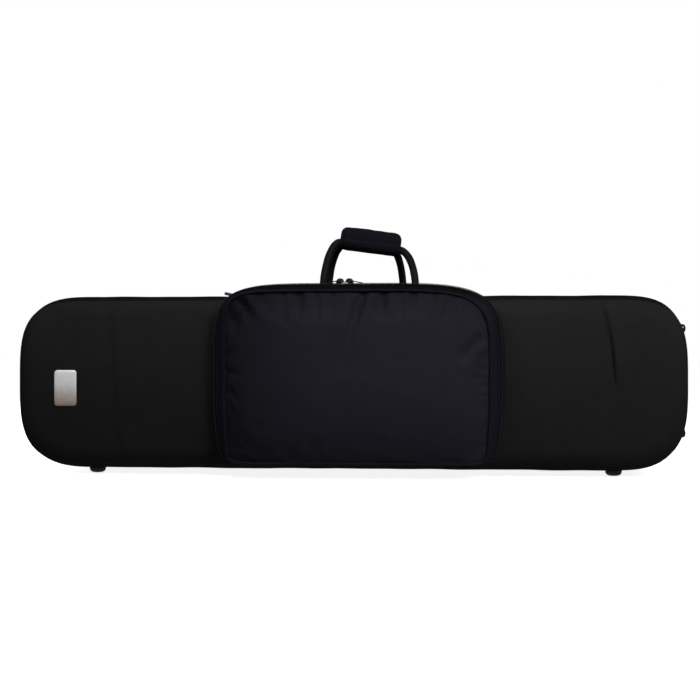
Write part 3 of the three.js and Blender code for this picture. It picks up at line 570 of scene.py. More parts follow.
def resample(points, pitch, closed, offset=0.0):
    """Points at an even pitch along a line, the last step stretched to fit, with their unit tangents."""
    line = np.concatenate([points, points[:1]]) if closed else points
    length = run_along(line)
    count = max(2, round(length[-1] / pitch))
    at = (np.arange(count) + 0.5 + offset) * length[-1] / count
    at = at % length[-1] if closed else at[at < length[-1]]
    place = np.stack([np.interp(at, length, line[:, i]) for i in range(3)], axis=-1)
    near = np.stack([np.interp(at - pitch / 4, length, line[:, i]) for i in range(3)], axis=-1)
    far = np.stack([np.interp(at + pitch / 4, length, line[:, i]) for i in range(3)], axis=-1)
    tangent = far - near
    return place, tangent / np.linalg.norm(tangent, axis=-1, keepdims=True)


def squared(value, power):
    """sign(v) |v|^p, which squares the sine and cosine of a round shape where p is under 1."""
    return np.sign(value) * np.abs(value) ** power


def beads(places, along, up, sizes, rows=5, columns=6, power=1.0):
    """A rounded bead at each place: a closed grid whose half sizes are along, aside and up."""
    aside = np.cross(up, along)
    aside /= np.linalg.norm(aside, axis=-1, keepdims=True)
    rise = np.cross(along, aside)
    lean = np.linspace(-math.pi / 2, math.pi / 2, rows)
    turn = np.linspace(0, 2 * math.pi, columns, endpoint=False)
    long = squared(np.sin(lean), power)[:, None] * np.ones(columns)
    wide = squared(np.cos(lean).clip(0), power)[:, None] * squared(np.cos(turn), power)
    high = squared(np.cos(lean).clip(0), power)[:, None] * squared(np.sin(turn), power)
    points = places[:, None, None, :]
    for share, size, axis in zip((long, wide, high), sizes, (along, aside, rise)):
        points = points + size * share[None, ..., None] * axis[:, None, None, :]
    return points


def nearest(places, points):
    """For each place, the number of the point at the least squared distance from it."""
    return np.argmin(((places[:, None, :] - points[None]) ** 2).sum(-1), axis=1)


def stitches(points, up, closed, pitch=stitch_pitch, length=stitch_length):
    """A line of stitches: a bead of thread every pitch, half sunk. Up is one direction, or one a point."""
    places, along = resample(points, pitch, closed)
    up = np.broadcast_to(np.asarray(up, float), points.shape)[nearest(places, points)]
    return beads(places, along, up, (length / 2, thread_radius * thread_flatness, thread_radius))


def outward_from(centre, ring):
    """Unit directions off a closed line square to Y: its tangents crossed with Y, turned from the centre."""
    direction = np.cross(path_frame(ring, True), [0.0, 1.0, 0.0])
    return direction * np.sign((direction * (ring - centre)).sum(-1, keepdims=True))


outline_ring = shell_rings(units, [0.0], [0.0], [0.0], 1)[0]
outward = outward_from([across, parting, middle], outline_ring)
for half, side in half_names:
    seam_line = seam_depth - seam_stitch_back
    end, flank = band_rows(np.array([seam_line]))
    ring = shell_rings(units, end, flank, [seam_line], side)[0] + stitch_lift * outward
    add_shape(f"{half}_seam_stitches", f"{half}_half", [stitches(ring, outward, True)], thread)


# Main zip: a coil zip whose two tapes lie in the step between the shells, from low on the left end,
# over the top, to low on the right end. Each coil is a nylon wire wound to a loop every 1.9 mm.
tape_width = 0.009
tape_inset = 0.0002
tape_thickness = 0.0015
coil_pitch = 0.0019
coil_height = 0.002
coil_line = 0.00095
coil_half_width = 0.00145
coil_half_height = 0.48 * coil_height
coil_rows, coil_columns, coil_power = 6, 8, 0.75
coil_sink = 0.0001
coil_lead = 0.25
wire_share = 0.42
tape_seams = (0.0036, 0.0076)
tape_stitch = (0.0034, 0.0026)
tape_cloth = cloth_material(
    "zip tape", (12, 12, 18), (20, 20, 27), pitch=0.0011, relief=0.0002, roughness=0.7,
    specular=0.06, lint=0.1)
coil_nylon = smooth_material(
    "zip coil", colour(11, 11, 14), colour(30, 30, 35), (0.28, 0.5), 40.0, {"Specular IOR Level": 0.25})


def part_of_outline(keep):
    """Numbers of the outline's points where keep holds, in one unbroken run."""
    start = np.flatnonzero(keep & ~np.roll(keep, 1))[0]
    return (start + np.arange(keep.sum())) % keep.size


def rounded_corners(width, height, corner, steps):
    """A rectangle with rounded corners about the origin: its points' places across and up."""
    turn = np.linspace(0, math.pi / 2, steps)
    wide, high = [], []
    for quarter, (side, level) in enumerate(((1, 1), (-1, 1), (-1, -1), (1, -1))):
        angle = turn + quarter * math.pi / 2
        wide.append(side * (width / 2 - corner) + corner * np.cos(angle))
        high.append(level * (height / 2 - corner) + corner * np.sin(angle))
    return np.concatenate(wide), np.concatenate(high)


def capped(stations):
    """Closes a tube of sections with its end sections' middles."""
    first = np.broadcast_to(stations[:1].mean(axis=1, keepdims=True), stations[:1].shape)
    last = np.broadcast_to(stations[-1:].mean(axis=1, keepdims=True), stations[-1:].shape)
    return np.concatenate([first, stations, last])


def outline_strip(kept, side, corner=0.0004):
    """A strip of tape that follows part of the outline, from the zip's plane to the width of a tape."""
    aside, rise = rounded_corners(tape_width - seam_gap, tape_thickness, corner, 4)
    deep = (seam_gap + tape_width) / 2 + aside
    inset = tape_inset + tape_thickness / 2 - rise
    return capped(shell_rings(units[:, kept], inset, inset, deep, side).transpose(1, 0, 2))


def outline_line(kept, inset, deep, side):
    """The line of points on part of the outline, at one inset and depth."""
    return shell_rings(units[:, kept], [inset], [inset], [deep], side)[0]


def coil(line, up, pitch, lead, half_sizes):
    """The coil along a line: a squared bead for each loop of its wire, set upright to the cloth there."""
    places, along = resample(line, pitch, False, lead)
    up = up[nearest(places, line)]
    return beads(places, along, up, half_sizes, coil_rows, coil_columns, coil_power)


chain_part = part_of_outline(outline_ring[:, 2] >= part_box("rear_zip_chain")[0].z)
for half, side in half_names:
    add_shape(f"{half}_main_zip_tape", f"{half}_half", [outline_strip(chain_part, side)], tape_cloth,
              [f"{half}_zip_chain"])
    line = outline_line(chain_part, tape_inset - coil_height / 2 + coil_sink, coil_line, side)
    loops = coil(line, outward[chain_part], coil_pitch, coil_lead * side,
                 (wire_share * coil_pitch, coil_half_width, coil_half_height))
    add_shape(f"{half}_main_zip_coil", f"{half}_half", [loops], coil_nylon)
    lines = [outline_line(chain_part, tape_inset, deep, side) for deep in tape_seams]
    sewn = [stitches(line, outward[chain_part], False, *tape_stitch) for line in lines]
    add_shape(f"{half}_zip_stitches", f"{half}_half", sewn, thread)


# Hinge tapes: a doubled nylon strip sewn along the bottom edge of each shell, on which the front
# shell turns.
hinge_seams = (0.0018, 0.0074)
hinge_part = part_of_outline(outline_ring[:, 2] <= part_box("rear_hinge_tape")[1].z)
for half, side in half_names:
    add_shape(f"{half}_hinge_strip", f"{half}_half", [outline_strip(hinge_part, side)], side_nylon,
              [f"{half}_hinge_tape"])
    lines = [outline_line(hinge_part, tape_inset, deep, side) for deep in hinge_seams]
    sewn = [stitches(line, outward[hinge_part], False) for line in lines]
    add_shape(f"{half}_hinge_stitches", f"{half}_half", sewn, thread)


# Feet and end studs: injection-moulded black plastic, screwed through the band into a washer plate.
# Each is a low dome whose brim presses on the cloth.
foot_profile_shares = ((0.0, 0.0), (0.38, 0.0), (0.55, 0.04), (0.72, 0.13), (0.86, 0.28), (0.935, 0.45),
                       (0.955, 0.62), (0.965, 0.76), (1.0, 0.84), (1.0, 1.0), (0.0, 1.0))
stud_profile_shares = ((0.0, 0.0), (0.45, 0.0), (0.64, 0.03), (0.82, 0.08), (0.93, 0.15), (0.98, 0.22),
                       (1.0, 0.3), (1.0, 1.0), (0.0, 1.0))
stud_root = 0.004
foot_columns = 48
foot_plastic = smooth_material(
    "foot plastic", colour(13, 13, 14, 0.8), colour(13, 13, 14, 1.3), (0.16, 0.31), 90.0, {},
    swapped=True, span=(0.3, 0.7), relief=0.00005, strength=0.5)


def rounded_profile(shares, steps):
    """A profile with its corners rounded: two passes of corner cutting, then even steps."""
    line = np.array(shares, float)
    for _ in range(2):
        quarter = 0.75 * line[:-1] + 0.25 * line[1:]
        rest = 0.25 * line[:-1] + 0.75 * line[1:]
        cut = np.stack([quarter, rest], axis=1).reshape(-1, 2)
        line = np.concatenate([line[:1], cut, line[-1:]])
    length = run_along(line)
    at = np.linspace(0, length[-1], steps)
    return np.stack([np.interp(at, length, line[:, i]) for i in range(2)], axis=-1)


def turned(profile, tip, axis, radius, height):
    """A profile of radius and height shares turned round an axis that starts at the tip."""
    axis = np.array(axis, float)
    first = np.cross(axis, [0.0, 1.0, 0.0])
    second = np.cross(axis, first)
    turn = np.linspace(0, 2 * math.pi, foot_columns, endpoint=False)
    rim = np.cos(turn)[:, None] * first + np.sin(turn)[:, None] * second
    return (np.array(tip) + profile[:, 1, None, None] * height * axis
            + profile[:, 0, None, None] * radius * rim[None])


foot_profile = rounded_profile(foot_profile_shares, 34)
stud_profile = rounded_profile(stud_profile_shares, 30)
for half, side in half_names:
    for end in ("left", "right"):
        name = f"{half}_foot_{end}"
        low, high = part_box(name)
        tip = ((low.x + high.x) / 2, (low.y + high.y) / 2, low.z)
        shape = turned(foot_profile, tip, (0, 0, 1), (high.x - low.x) / 2, high.z - low.z + seam_gap)
        add_shape(f"{name}_moulding", f"{half}_half", [shape], foot_plastic, [name])
    for level in ("upper", "lower"):
        name = f"{half}_end_stud_{level}"
        low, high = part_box(name)
        tip = (high.x, (low.y + high.y) / 2, (low.z + high.z) / 2)
        shape = turned(stud_profile, tip, (-1, 0, 0), (high.y - low.y) / 2, high.x - low.x + stud_root)
        add_shape(f"{name}_moulding", f"{half}_half", [shape], foot_plastic, [name])


# Badge plate: a small domed plate of cast and nickel-plated metal, glued to the front panel's left
# end. It is bare.
badge_corner = 0.0045
badge_rows = 26
badge_low, badge_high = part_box("badge_plate")
badge_depth = 0.001
badge_crown = 0.0005
badge_roll_share = 0.22
badge_edge_share = 0.40
badge_top_share = 0.92


def rounded_rectangle(width, height, corner, arc=10, straight=8):
    """Points round a rectangle with rounded corners, its straight sides cut into even steps."""
    corners = np.stack(rounded_corners(width, height, corner, arc), axis=-1)
    following = np.roll(corners, -1, axis=0)
    arc_step = 2 * corner * math.sin(math.pi / (4 * (arc - 1)))
    line = []
    for here, there in zip(corners, following):
        count = straight if np.linalg.norm(there - here) > 1.5 * arc_step else 1
        line.append(here + (there - here) * np.arange(count)[:, None] / count)
    return np.concatenate(line)


def badge_plate():
    """Rings of a rounded rectangle shrunk to its centre line: back, rolled rim and a low dome."""
    width, height, thick = badge_high.x - badge_low.x, badge_high.z - badge_low.z, badge_high.y - badge_low.y
    outline = rounded_rectangle(width, height, badge_corner)
    front = np.concatenate([np.linspace(0, 0.14, 8), np.linspace(0.14, 1, badge_rows)[1:]])
    roll = np.sqrt(1 - (1 - np.clip(front / badge_roll_share, 0, 1)) ** 2)
    edge = badge_edge_share + (badge_top_share - badge_edge_share) * roll
    dome = thick * edge + badge_crown * (1 - (1 - front) ** 2)
    inward = np.concatenate([np.linspace(1, 0, 6), [0.0], front[1:]])[:, None]
    rise = np.concatenate([np.full(6, -badge_depth), [thick * 0.2], dome[1:]])[:, None]
    x, z = outline[None, :, 0], outline[None, :, 1]
    hub = np.clip(z, (width - height) / 2, (height - width) / 2)
    return np.stack([(badge_low.x + badge_high.x) / 2 + x * (1 - inward), badge_high.y - rise + 0 * x,
                     (badge_low.z + badge_high.z) / 2 + z + (hub - z) * inward], axis=-1)


def badge_material():
    """Brushed nickel: fine upright brushing, with a painted highlight that brightens it towards the top, and
    browner and darker towards the bottom.
    """
    material, tree, shader, here, _ = start_material("badge metal", None, {"Metallic": 0.25})
    height = add_node(tree, "ShaderNodeSeparateXYZ", {"Vector": here}).outputs["Z"]
    grain = add_node(tree, "ShaderNodeMapping", {"Vector": here, "Scale": (4500.0, 4500.0, 160.0)})
    brushed = noise(tree, grain.outputs["Vector"], 1.0, 3.0)
    level = ranged(tree, height, badge_low.z, badge_high.z, 0.0, 1.0)
    lowered = math_node(tree, "SUBTRACT", level, 0.12)
    # Painted highlight: the ramp by height is brightest at the top, and it runs browner and darker towards
    # the bottom.
    tint = add_node(tree, "ShaderNodeValToRGB", {
        "Fac": math_node(tree, "MULTIPLY_ADD", noise(tree, here, 120.0, 2.0), 0.24, lowered)})
    ramp = tint.color_ramp
    ramp.elements[0].color = colour(150, 132, 120)
    ramp.elements[1].color = colour(250, 250, 250)
    ramp.elements.new(0.3).color = colour(190, 182, 175)
    ramp.elements.new(0.62).color = colour(232, 232, 232)
    rough = ranged(tree, brushed, 0.0, 1.0, 0.22, 0.42)
    feed(tree, shader, tint.outputs["Color"], rough, brushed, 0.00004, 0.6)
    return material


add_shape("badge_plate_metal", "front_half", [badge_plate()], badge_material(),
          ["badge_plate"], sharp=60)


# Carrying handle's loops: two lengths of rope sheathed in woven nylon, one for each shell. Their ends
# are sewn down under a padded patch, and each runs through one half of the handle's wrap.
cord_radius = 0.0055
cord_twist = 0.012
twist_length = 0.004
foot_swell = 0.10
foot_swell_length = 0.006
foot_sink = 0.0005
loop_stand = 0.036
grip_stand = 0.0082
front_legs = (-0.041, 0.095)
rear_legs = (-0.039, 0.075)
grip_ends = (-0.018, 0.071)
grip_heights = (0.2065, 0.1945)
front_leads = (-0.002, -0.002)
rear_leads = (0.005, 0.010)
leg_rise = 0.032
shoulder_share = 0.33
shoulder_drop = 0.0068
shoulder_stand = 0.015
patch_corner = 0.006
patch_seam = 0.82
patch_stitch = (0.003, 0.0022)
patch_inward = np.array([1.0, 0.5, 0.0, 0.0, 0.04, 0.12, 0.25, 0.34, 0.5, 1.0])
patch_rise = np.array([0.0, 0.0, 0.0, 0.5, 0.82, 0.93, 0.97, 1.0, 1.0, 1.0])
cord_sheath = cloth_material(
    "cord sheath", (8, 8, 10), (14, 14, 17), pitch=0.0016, relief=0.0004, roughness=0.48,
    specular=0.1, lint=0.05, cloud=20.0)


def bezier(points, count):
    """A cubic Bezier curve at even parameters, its four control points weighted by Bernstein's shares."""
    a, b, c, d = (np.array(p, float) for p in points)
    t = np.linspace(0, 1, count)[:, None]
    return (1 - t) ** 3 * a + 3 * t * (1 - t) ** 2 * b + 3 * t * t * (1 - t) * c + t ** 3 * d


def grip_height(x):
    """Height of the wrap's cord line over a place along the case, on the straight line between its ends."""
    slope = (grip_heights[1] - grip_heights[0]) / (grip_ends[1] - grip_ends[0])
    return grip_heights[0] + slope * (x - grip_ends[0])


def loop_path(side, legs, leads, foot):
    """The loop's line: up from its anchor, over a shoulder, straight through the wrap and down again."""
    def leg(x, end):
        """Four control points from the anchor at x to one end of the wrap."""
        bend = x + (end - x) * shoulder_share
        top = grip_height(end)
        return ((x, side * loop_stand, foot), (x, side * loop_stand, foot + leg_rise),
                (bend, side * shoulder_stand, top - shoulder_drop), (end, side * grip_stand, top))
    left = bezier(leg(legs[0], grip_ends[0] + leads[0]), 60)
    right = bezier(leg(legs[1], grip_ends[1] - leads[1]), 60)[::-1]
    line = np.concatenate([left, np.linspace(left[-1], right[0], 30)[1:-1], right])
    return line + [across, parting, middle]


def tube(path, radii, columns, closed=False, lead=(0.0, 0.0, 1.0)):
    """A round tube along a path. Each section's side is the last one's less its part along the tangent."""
    tangent = path_frame(path, closed)
    radii = np.broadcast_to(radii, len(path))
    side = np.cross(tangent[0], lead)
    sides = []
    for ahead in tangent:
        side = side - ahead * side.dot(ahead)
        side = side / np.linalg.norm(side)
        sides.append(side)
    sides = np.array(sides)
    over = np.cross(tangent, sides)
    turn = np.linspace(0, 2 * math.pi, columns, endpoint=False)
    ring = np.cos(turn)[None, :, None] * sides[:, None, :] + np.sin(turn)[None, :, None] * over[:, None, :]
    return path[:, None, :] + radii[:, None, None] * ring


def drawn_in(rim, inward, heights):
    """A plate from its rim: the rim times (1 - share), for each share inwards, at the height beside it."""
    flat = rim[None] * (1 - inward[:, None, None])
    return np.concatenate([flat, np.broadcast_to(heights[:, None, None], (*flat.shape[:2], 1))], axis=-1)


for half, side in half_names:
    legs = front_legs if side < 0 else rear_legs
    leads = front_leads if side < 0 else rear_leads
    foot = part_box(f"{half}_handle_anchor_left")[1].z - middle
    path = loop_path(side, legs, leads, foot - foot_sink)
    run = run_along(path)
    near_end = np.minimum(run, run[-1] - run)
    swell = foot_swell * np.exp(-(near_end / foot_swell_length) ** 2)
    swell = cord_twist * np.sin(run / twist_length) + swell
    cord = capped(tube(path, cord_radius * (1 + swell), 20))
    add_shape(f"{half}_handle_cord", f"{half}_half", [cord], cord_sheath,
              [f"{half}_handle_loop"])
    for end in ("left", "right"):
        low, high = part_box(f"{half}_handle_anchor_{end}")
        centre = np.array([(low.x + high.x) / 2, (low.y + high.y) / 2, low.z])
        rim = rounded_rectangle(high.x - low.x, high.y - low.y, patch_corner, 8, 6)
        patch = centre + drawn_in(rim, patch_inward, patch_rise * (high.z - low.z))
        add_shape(f"{half}_anchor_patch_{end}", f"{half}_half", [patch], side_nylon,
                  [f"{half}_handle_anchor_{end}"])
        line = centre + np.insert(rim * patch_seam, 2, high.z - low.z + stitch_lift, axis=1)
        sewn = stitches(line, (0, 0, 1), True, *patch_stitch)
        add_shape(f"{half}_anchor_stitches_{end}", f"{half}_half", [sewn], thread)


# Handle wrap: nylon over soft foam in two halves, one on each loop, bound and sewn at both ends. The
# front half carries the flap that closes round the rear one.
grip_above = 0.0250
grip_below = 0.0094
grip_half_width = 0.0175
grip_share = 3.2
grip_end_round = 0.012
grip_end_size = 0.62
flap_edge = 0.0045
flap_rise = 0.11
binding_height = 0.0006
binding_width = 0.0075
wrap_puff = 0.0008
cord_channel = 0.0009
stitch_centre = 0.008
wrap_seams = (0.055, 0.945)
wrap_stitch = (0.003, 0.0021)
grip_cloth = cloth_material(
    "grip nylon", (13, 12, 17), (20, 19, 25), pitch=0.0008, relief=0.00025, roughness=0.75,
    specular=0.06, lint=0.15, cloud=18.0)


def grip_wrap(side):
    """One half of the padded roll: its rows from end to end, and a point within each row.

    Its section is a superellipse cut by the middle plane. It is bound at both ends, hollow over its cord,
    and the front half is thicker below the edge of its flap.
    """
    reach, climb = grip_ends[1] - grip_ends[0], grip_heights[1] - grip_heights[0]
    run = math.hypot(reach, climb)
    near_share = 0.11 * np.linspace(0, 1, 14) ** 1.7
    along = run * np.concatenate([near_share, np.linspace(0.12, 0.88, 56), 1 - near_share[::-1]])[:, None]
    from_end = np.minimum(along, run - along)
    fullness = np.sqrt(1 - (1 - np.clip(from_end / grip_end_round, 0, 1)) ** 2)
    size = grip_end_size + (1 - grip_end_size) * fullness
    turn = np.linspace(-math.pi / 2, math.pi / 2, 72)
    aside = grip_half_width * squared(np.cos(turn).clip(0), 2 / grip_share)
    heart, half_rise = (grip_above - grip_below) / 2, (grip_above + grip_below) / 2
    rise = heart + half_rise * squared(np.sin(turn), 2 / grip_share)
    binding = binding_height * smooth_step(0.0, 0.0015, binding_width - from_end)
    puff = wrap_puff * ripple(along, turn * 0.012, 0.03) * smooth_step(0.004, 0.012, from_end)
    grow = 1 + (puff + binding) / grip_half_width
    if side < 0:
        flap = smooth_step(0.0, 0.0012, flap_edge - rise) * smooth_step(0.003, 0.009, from_end)
        grow = grow + flap_rise * flap
    outer = np.maximum(aside * size * grow, zip_gap)
    lift = rise * size * (1 + (grow - 1) * 0.4)
    back = lift[:, :1] + (lift[:, -1:] - lift[:, :1]) * np.linspace(1, 0, 12)[1:-1]
    inner = zip_gap + cord_channel * np.exp(-(back / 0.006) ** 2)
    ahead = np.array([reach, 0, climb]) / run
    over = np.array([-ahead[2], 0, ahead[0]])
    line = np.array([across + grip_ends[0], parting, middle + grip_heights[0]]) + along * ahead
    points = (line[:, None] + np.concatenate([lift, back], axis=1)[..., None] * over
              + side * np.concatenate([outer, inner], axis=1)[..., None] * np.array([0.0, 1.0, 0.0]))
    return points, line + stitch_centre * over


for half, side in half_names:
    points, hearts = grip_wrap(side)
    wrap = add_shape(f"{half}_handle_wrap", f"{half}_half", [capped(points)], grip_cloth,
                     [f"{half}_grip_wrap"])
    rows = [round(share * (len(points) - 1)) for share in wrap_seams]
    sewn = [stitches(points[row, 4:68], points[row, 4:68] - hearts[row], False, *wrap_stitch) for row in rows]
    add_shape(f"{half}_wrap_stitches", f"{half}_half", sewn, thread)


# Strap rings: bent and welded steel wire with bright nickel plating, each held by a fold of nylon
# webbing that is box-stitched to the top of the rear shell.
ring_wire = 0.0023
ring_half_width = 0.015
ring_reach = 0.020
ring_tilt = math.radians(12)
webbing_thickness = 0.0017
webbing_width = 0.0225
webbing_round_bar = ring_wire + 0.0004
webbing_dip = 0.0085
box_start, box_margin, box_half_width = 0.0105, 0.002, 0.0085
webbing_stitch = (0.0024, 0.0019)
ring_metal = smooth_material(
    "ring nickel", colour(205, 205, 208, 0.75), colour(205, 205, 208), (0.12, 0.3), 70.0, {"Metallic": 1.0},
    span=(0.3, 0.7), relief=0.00003, strength=0.4)
webbing_nylon = cloth_material(
    "webbing", (15, 15, 18), (25, 25, 29), pitch=0.0015, relief=0.0004, roughness=0.7,
    specular=0.08, lint=0.15, cloud=20.0)


def ribbon(line, ups, width, thickness, aside):
    """Webbing along a line: a rounded strip section, its thickness along ups and its width along aside."""
    wide, thick = rounded_corners(width, thickness, thickness * 0.42, 4)
    aside = np.array(aside, float)
    return capped(line[:, None, :] + thick[None, :, None] * ups[:, None, :] + wide[None, :, None] * aside)


def webbing_line(tail):
    """The fold's middle line about the ring's bar: upper end, dip to the bar, bow round it and lower end."""
    mean = webbing_round_bar + webbing_thickness / 2
    level = webbing_thickness - mean
    turn = np.linspace(math.radians(20), math.radians(270), 40)
    bow = mean * np.stack([np.cos(turn), np.sin(turn)], axis=-1)
    upper = np.stack([np.linspace(tail, webbing_dip, 10), np.full(10, level)], axis=-1)
    dip = bezier(((webbing_dip, level), (0.006, level), (0.0042, 0.0002), bow[0]), 10)[1:-1]
    lower = np.stack([np.linspace(0.001, tail, 12), np.full(12, -mean)], axis=-1)
    return np.concatenate([upper, dip, bow, lower])


def ring_line():
    """The ring's line about its bar: half an oval and the bar, with the corners rounded by six blurs."""
    arc = np.linspace(0, math.pi, 60)
    bow = np.stack([-ring_reach * np.sin(arc), ring_half_width * np.cos(arc)], axis=-1)
    bar = np.stack([np.zeros(20), np.linspace(-ring_half_width, ring_half_width, 22)[1:-1]], axis=-1)
    line = np.concatenate([bow, bar])
    for _ in range(6):
        line = (np.roll(line, 1, axis=0) + 2 * line + np.roll(line, -1, axis=0)) / 4
    return line


def closed_tube(path, radii, columns, lead=(0.0, 0.0, 1.0)):
    """A round tube along a closed path, with its last section on its first."""
    wire = tube(path, radii, columns, True, lead)
    return np.concatenate([wire, wire[:1]])


for end, way in (("left", 1), ("right", -1)):
    low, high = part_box(f"strap_ring_tab_{end}")
    hub = webbing_round_bar + webbing_thickness
    bar = np.array([low.x + hub if way > 0 else high.x - hub, (low.y + high.y) / 2, low.z + hub])
    tail = (high.x - low.x) - hub
    flat = webbing_line(tail)
    line = bar + np.stack([way * flat[:, 0], 0 * flat[:, 0], flat[:, 1]], axis=-1)
    ups = np.cross(path_frame(line, False), [0.0, 1.0, 0.0])
    webbing = ribbon(line, ups, webbing_width, webbing_thickness * 0.94, (0, 1, 0))
    add_shape(f"ring_webbing_{end}", "rear_half", [webbing], webbing_nylon,
              [f"strap_ring_tab_{end}"])
    near, far, edge = way * box_start, way * (tail - box_margin), box_half_width
    top = webbing_thickness - webbing_round_bar + stitch_lift
    corners = bar + np.array([(near, -edge, top), (far, -edge, top), (far, edge, top), (near, edge, top)])
    sewn = [stitches(np.linspace(corners[a], corners[b], 12), (0, 0, 1), False, *webbing_stitch)
            for a, b in ((0, 1), (1, 2), (2, 3), (3, 0), (0, 2), (3, 1))]
    add_shape(f"ring_webbing_stitches_{end}", "rear_half", sewn, thread)
    reach, aside = ring_line().T
    wire = closed_tube(bar + np.stack([way * reach * math.cos(ring_tilt), aside,
                                       -reach * math.sin(ring_tilt)], axis=-1), ring_wire, 16)
    add_shape(f"strap_ring_{end}_wire", f"{end}_ring", [wire], ring_metal,
              [f"strap_ring_{end}"], merge=2e-5)


# Music pocket, rear part: a nylon gusset sewn to the front shell. It spreads towards the shell and
# follows its rolled edge at the top, and its front edge carries one tape of the pocket's zip.
pocket_across = 0.0158
pocket_widest = 0.013
pocket_zip = 0.142
pocket_skin = 0.0025
zip_corner_shares = ((1, 1, 4.7), (-1, 1, 5.4), (-1, -1, 18.0), (1, -1, 18.0))
seam_corner_shares = ((1, 1, 4.9), (-1, 1, 8.5), (-1, -1, 24.0), (1, -1, 24.0))
profile_depths = np.array([0.118, 0.126, 0.1345, 0.142, 0.1495, 0.154, 0.158])
profile_sides = np.array([0.2032, 0.2022, 0.2003, 0.1966, 0.1915, 0.1875, 0.1815])
profile_tops = np.array([0.1275, 0.1325, 0.1352, 0.1362, 0.1352, 0.1325, 0.1270])
profile_bottoms = np.array([0.1090, 0.1096, 0.1100, 0.1100, 0.1098, 0.1094, 0.1085])
profile_tapers = np.array([0.0130, 0.0125, 0.0110, 0.0095, 0.0080, 0.0065, 0.0050])
taper_start = -0.020
gusset_first = 0.1215
gusset_sink = 0.0006
gusset_reach = 0.1166
gusset_bow = 0.0010
gusset_folds = 0.0007
# Painted shade: the pocket nylon is a little darker on the left and much darker along its top.
pocket_nylon = cloth_material(
    "pocket nylon", (20, 19, 27), (25, 24, 33), pitch=0.0007, relief=0.0002, roughness=0.65,
    specular=0.06, cloud=6.0, shade_fades=(("X", -0.20, -0.12, 0.9), ("Z", 0.264, 0.236, 0.15)))


def pocket_units(shares, count):
    """An outline as unit arrays across and up: four superellipse quarters, evenly resampled."""
    turn = np.linspace(0, math.pi / 2, 800)
    scale = np.array([[profile_sides[-1]], [profile_tops[-1]]])
    curves = []
    for side, level, share in shares:
        wide, tall = np.cos(turn).clip(0) ** (2 / share), np.sin(turn).clip(0) ** (2 / share)
        if side * level < 0:
            wide, tall = wide[::-1], tall[::-1]
        curves.append(np.stack([side * wide, level * tall])[:, :-1])
    curve = np.concatenate(curves + [curves[0][:, :1]], axis=1)
    return even_curve(curve * scale, count) / scale


pocket_count = 600
zip_line = pocket_units(zip_corner_shares, pocket_count)
seam_line = pocket_units(seam_corner_shares, pocket_count)


def pocket_place(wide, tall, half_width, top, bottom, taper):
    """Across and up, from unit ones: the lower part draws in by the taper, which grows as a square."""
    z = pocket_widest + np.where(tall > 0, tall * (top - pocket_widest), tall * (bottom + pocket_widest))
    low = np.clip((taper_start - z) / (bottom + taper_start), 0, 1) ** 2
    return pocket_across + wide * (half_width - taper * low), z


def pocket_profile(deep):
    """Half width, top, bottom and taper of the pocket's outer skin at each depth, one row for each."""
    rows = (profile_sides, profile_tops, profile_bottoms, profile_tapers)
    return tuple(np.interp(deep, profile_depths, row).reshape(-1, 1) for row in rows)


def pocket_rings(deep):
    """Rings of the pocket's skin: from the zip to the seam one outline turns into the other."""
    deep = np.atleast_1d(np.asarray(deep, float))
    share = smooth_step(pocket_zip, profile_depths[-1], deep)[:, None]
    wide, tall = (near + (far - near) * share for near, far in zip(zip_line, seam_line))
    x, z = pocket_place(wide, tall, *pocket_profile(deep))
    return np.stack([across + x, parting - deep[:, None] + 0 * x, middle + z], axis=-1)


def shell_face_depth(z):
    """Depth of the front shell's outer face at a height from the shell's centre."""
    inset = np.clip(half_height - side_bulge - np.abs(z), 0, edge_radius)
    rolled = np.sqrt(edge_radius ** 2 - (edge_radius - inset) ** 2)
    return seam_depth + seam_gap + rolled + crown(z) * smooth_step(*relief_fade, inset)


pocket_ring = pocket_rings(pocket_zip)[0]
pocket_out = outward_from([across + pocket_across, parting - pocket_zip, middle + pocket_widest], pocket_ring)
pocket_run = run_along(pocket_ring)
pocket_round = 2 * math.pi / (2 * pocket_run[-1] - pocket_run[-2])


def pocket_gusset():
    """Rows from the seam on the shell to the zip, moved out by sin(pi t) (B + F w).

    B is the bow, F the height of the folds, and w three sines of the run round the pocket.
    """
    base = pocket_rings(profile_depths[0])[0]
    height = np.minimum(base[:, 2] - middle, gusset_reach)
    base[:, 2] = middle + height
    base[:, 1] = parting - shell_face_depth(height) + gusset_sink
    front = pocket_rings(np.linspace(gusset_first, pocket_zip - zip_gap, 16))
    share = np.linspace(0, 1, 12)[:, None, None]
    rows = np.concatenate([base + (front[0] - base) * share, front[1:]])
    run = np.linspace(0, 1, len(rows))[:, None]
    phase = pocket_run * pocket_round
    folds = 0.5 * np.sin(31 * phase + 1.1) + 0.3 * np.sin(53 * phase + 4 * run) + 0.3 * np.sin(17 * phase)
    rows = rows + (np.sin(math.pi * run) * (gusset_bow + gusset_folds * folds))[..., None] * pocket_out
    inner = rows[::-1] - pocket_skin * pocket_out
    return np.concatenate([rows, inner, rows[:1]])


add_shape("pocket_rear_gusset", "front_half", [pocket_gusset()], pocket_nylon,
          ["pocket_gusset"])


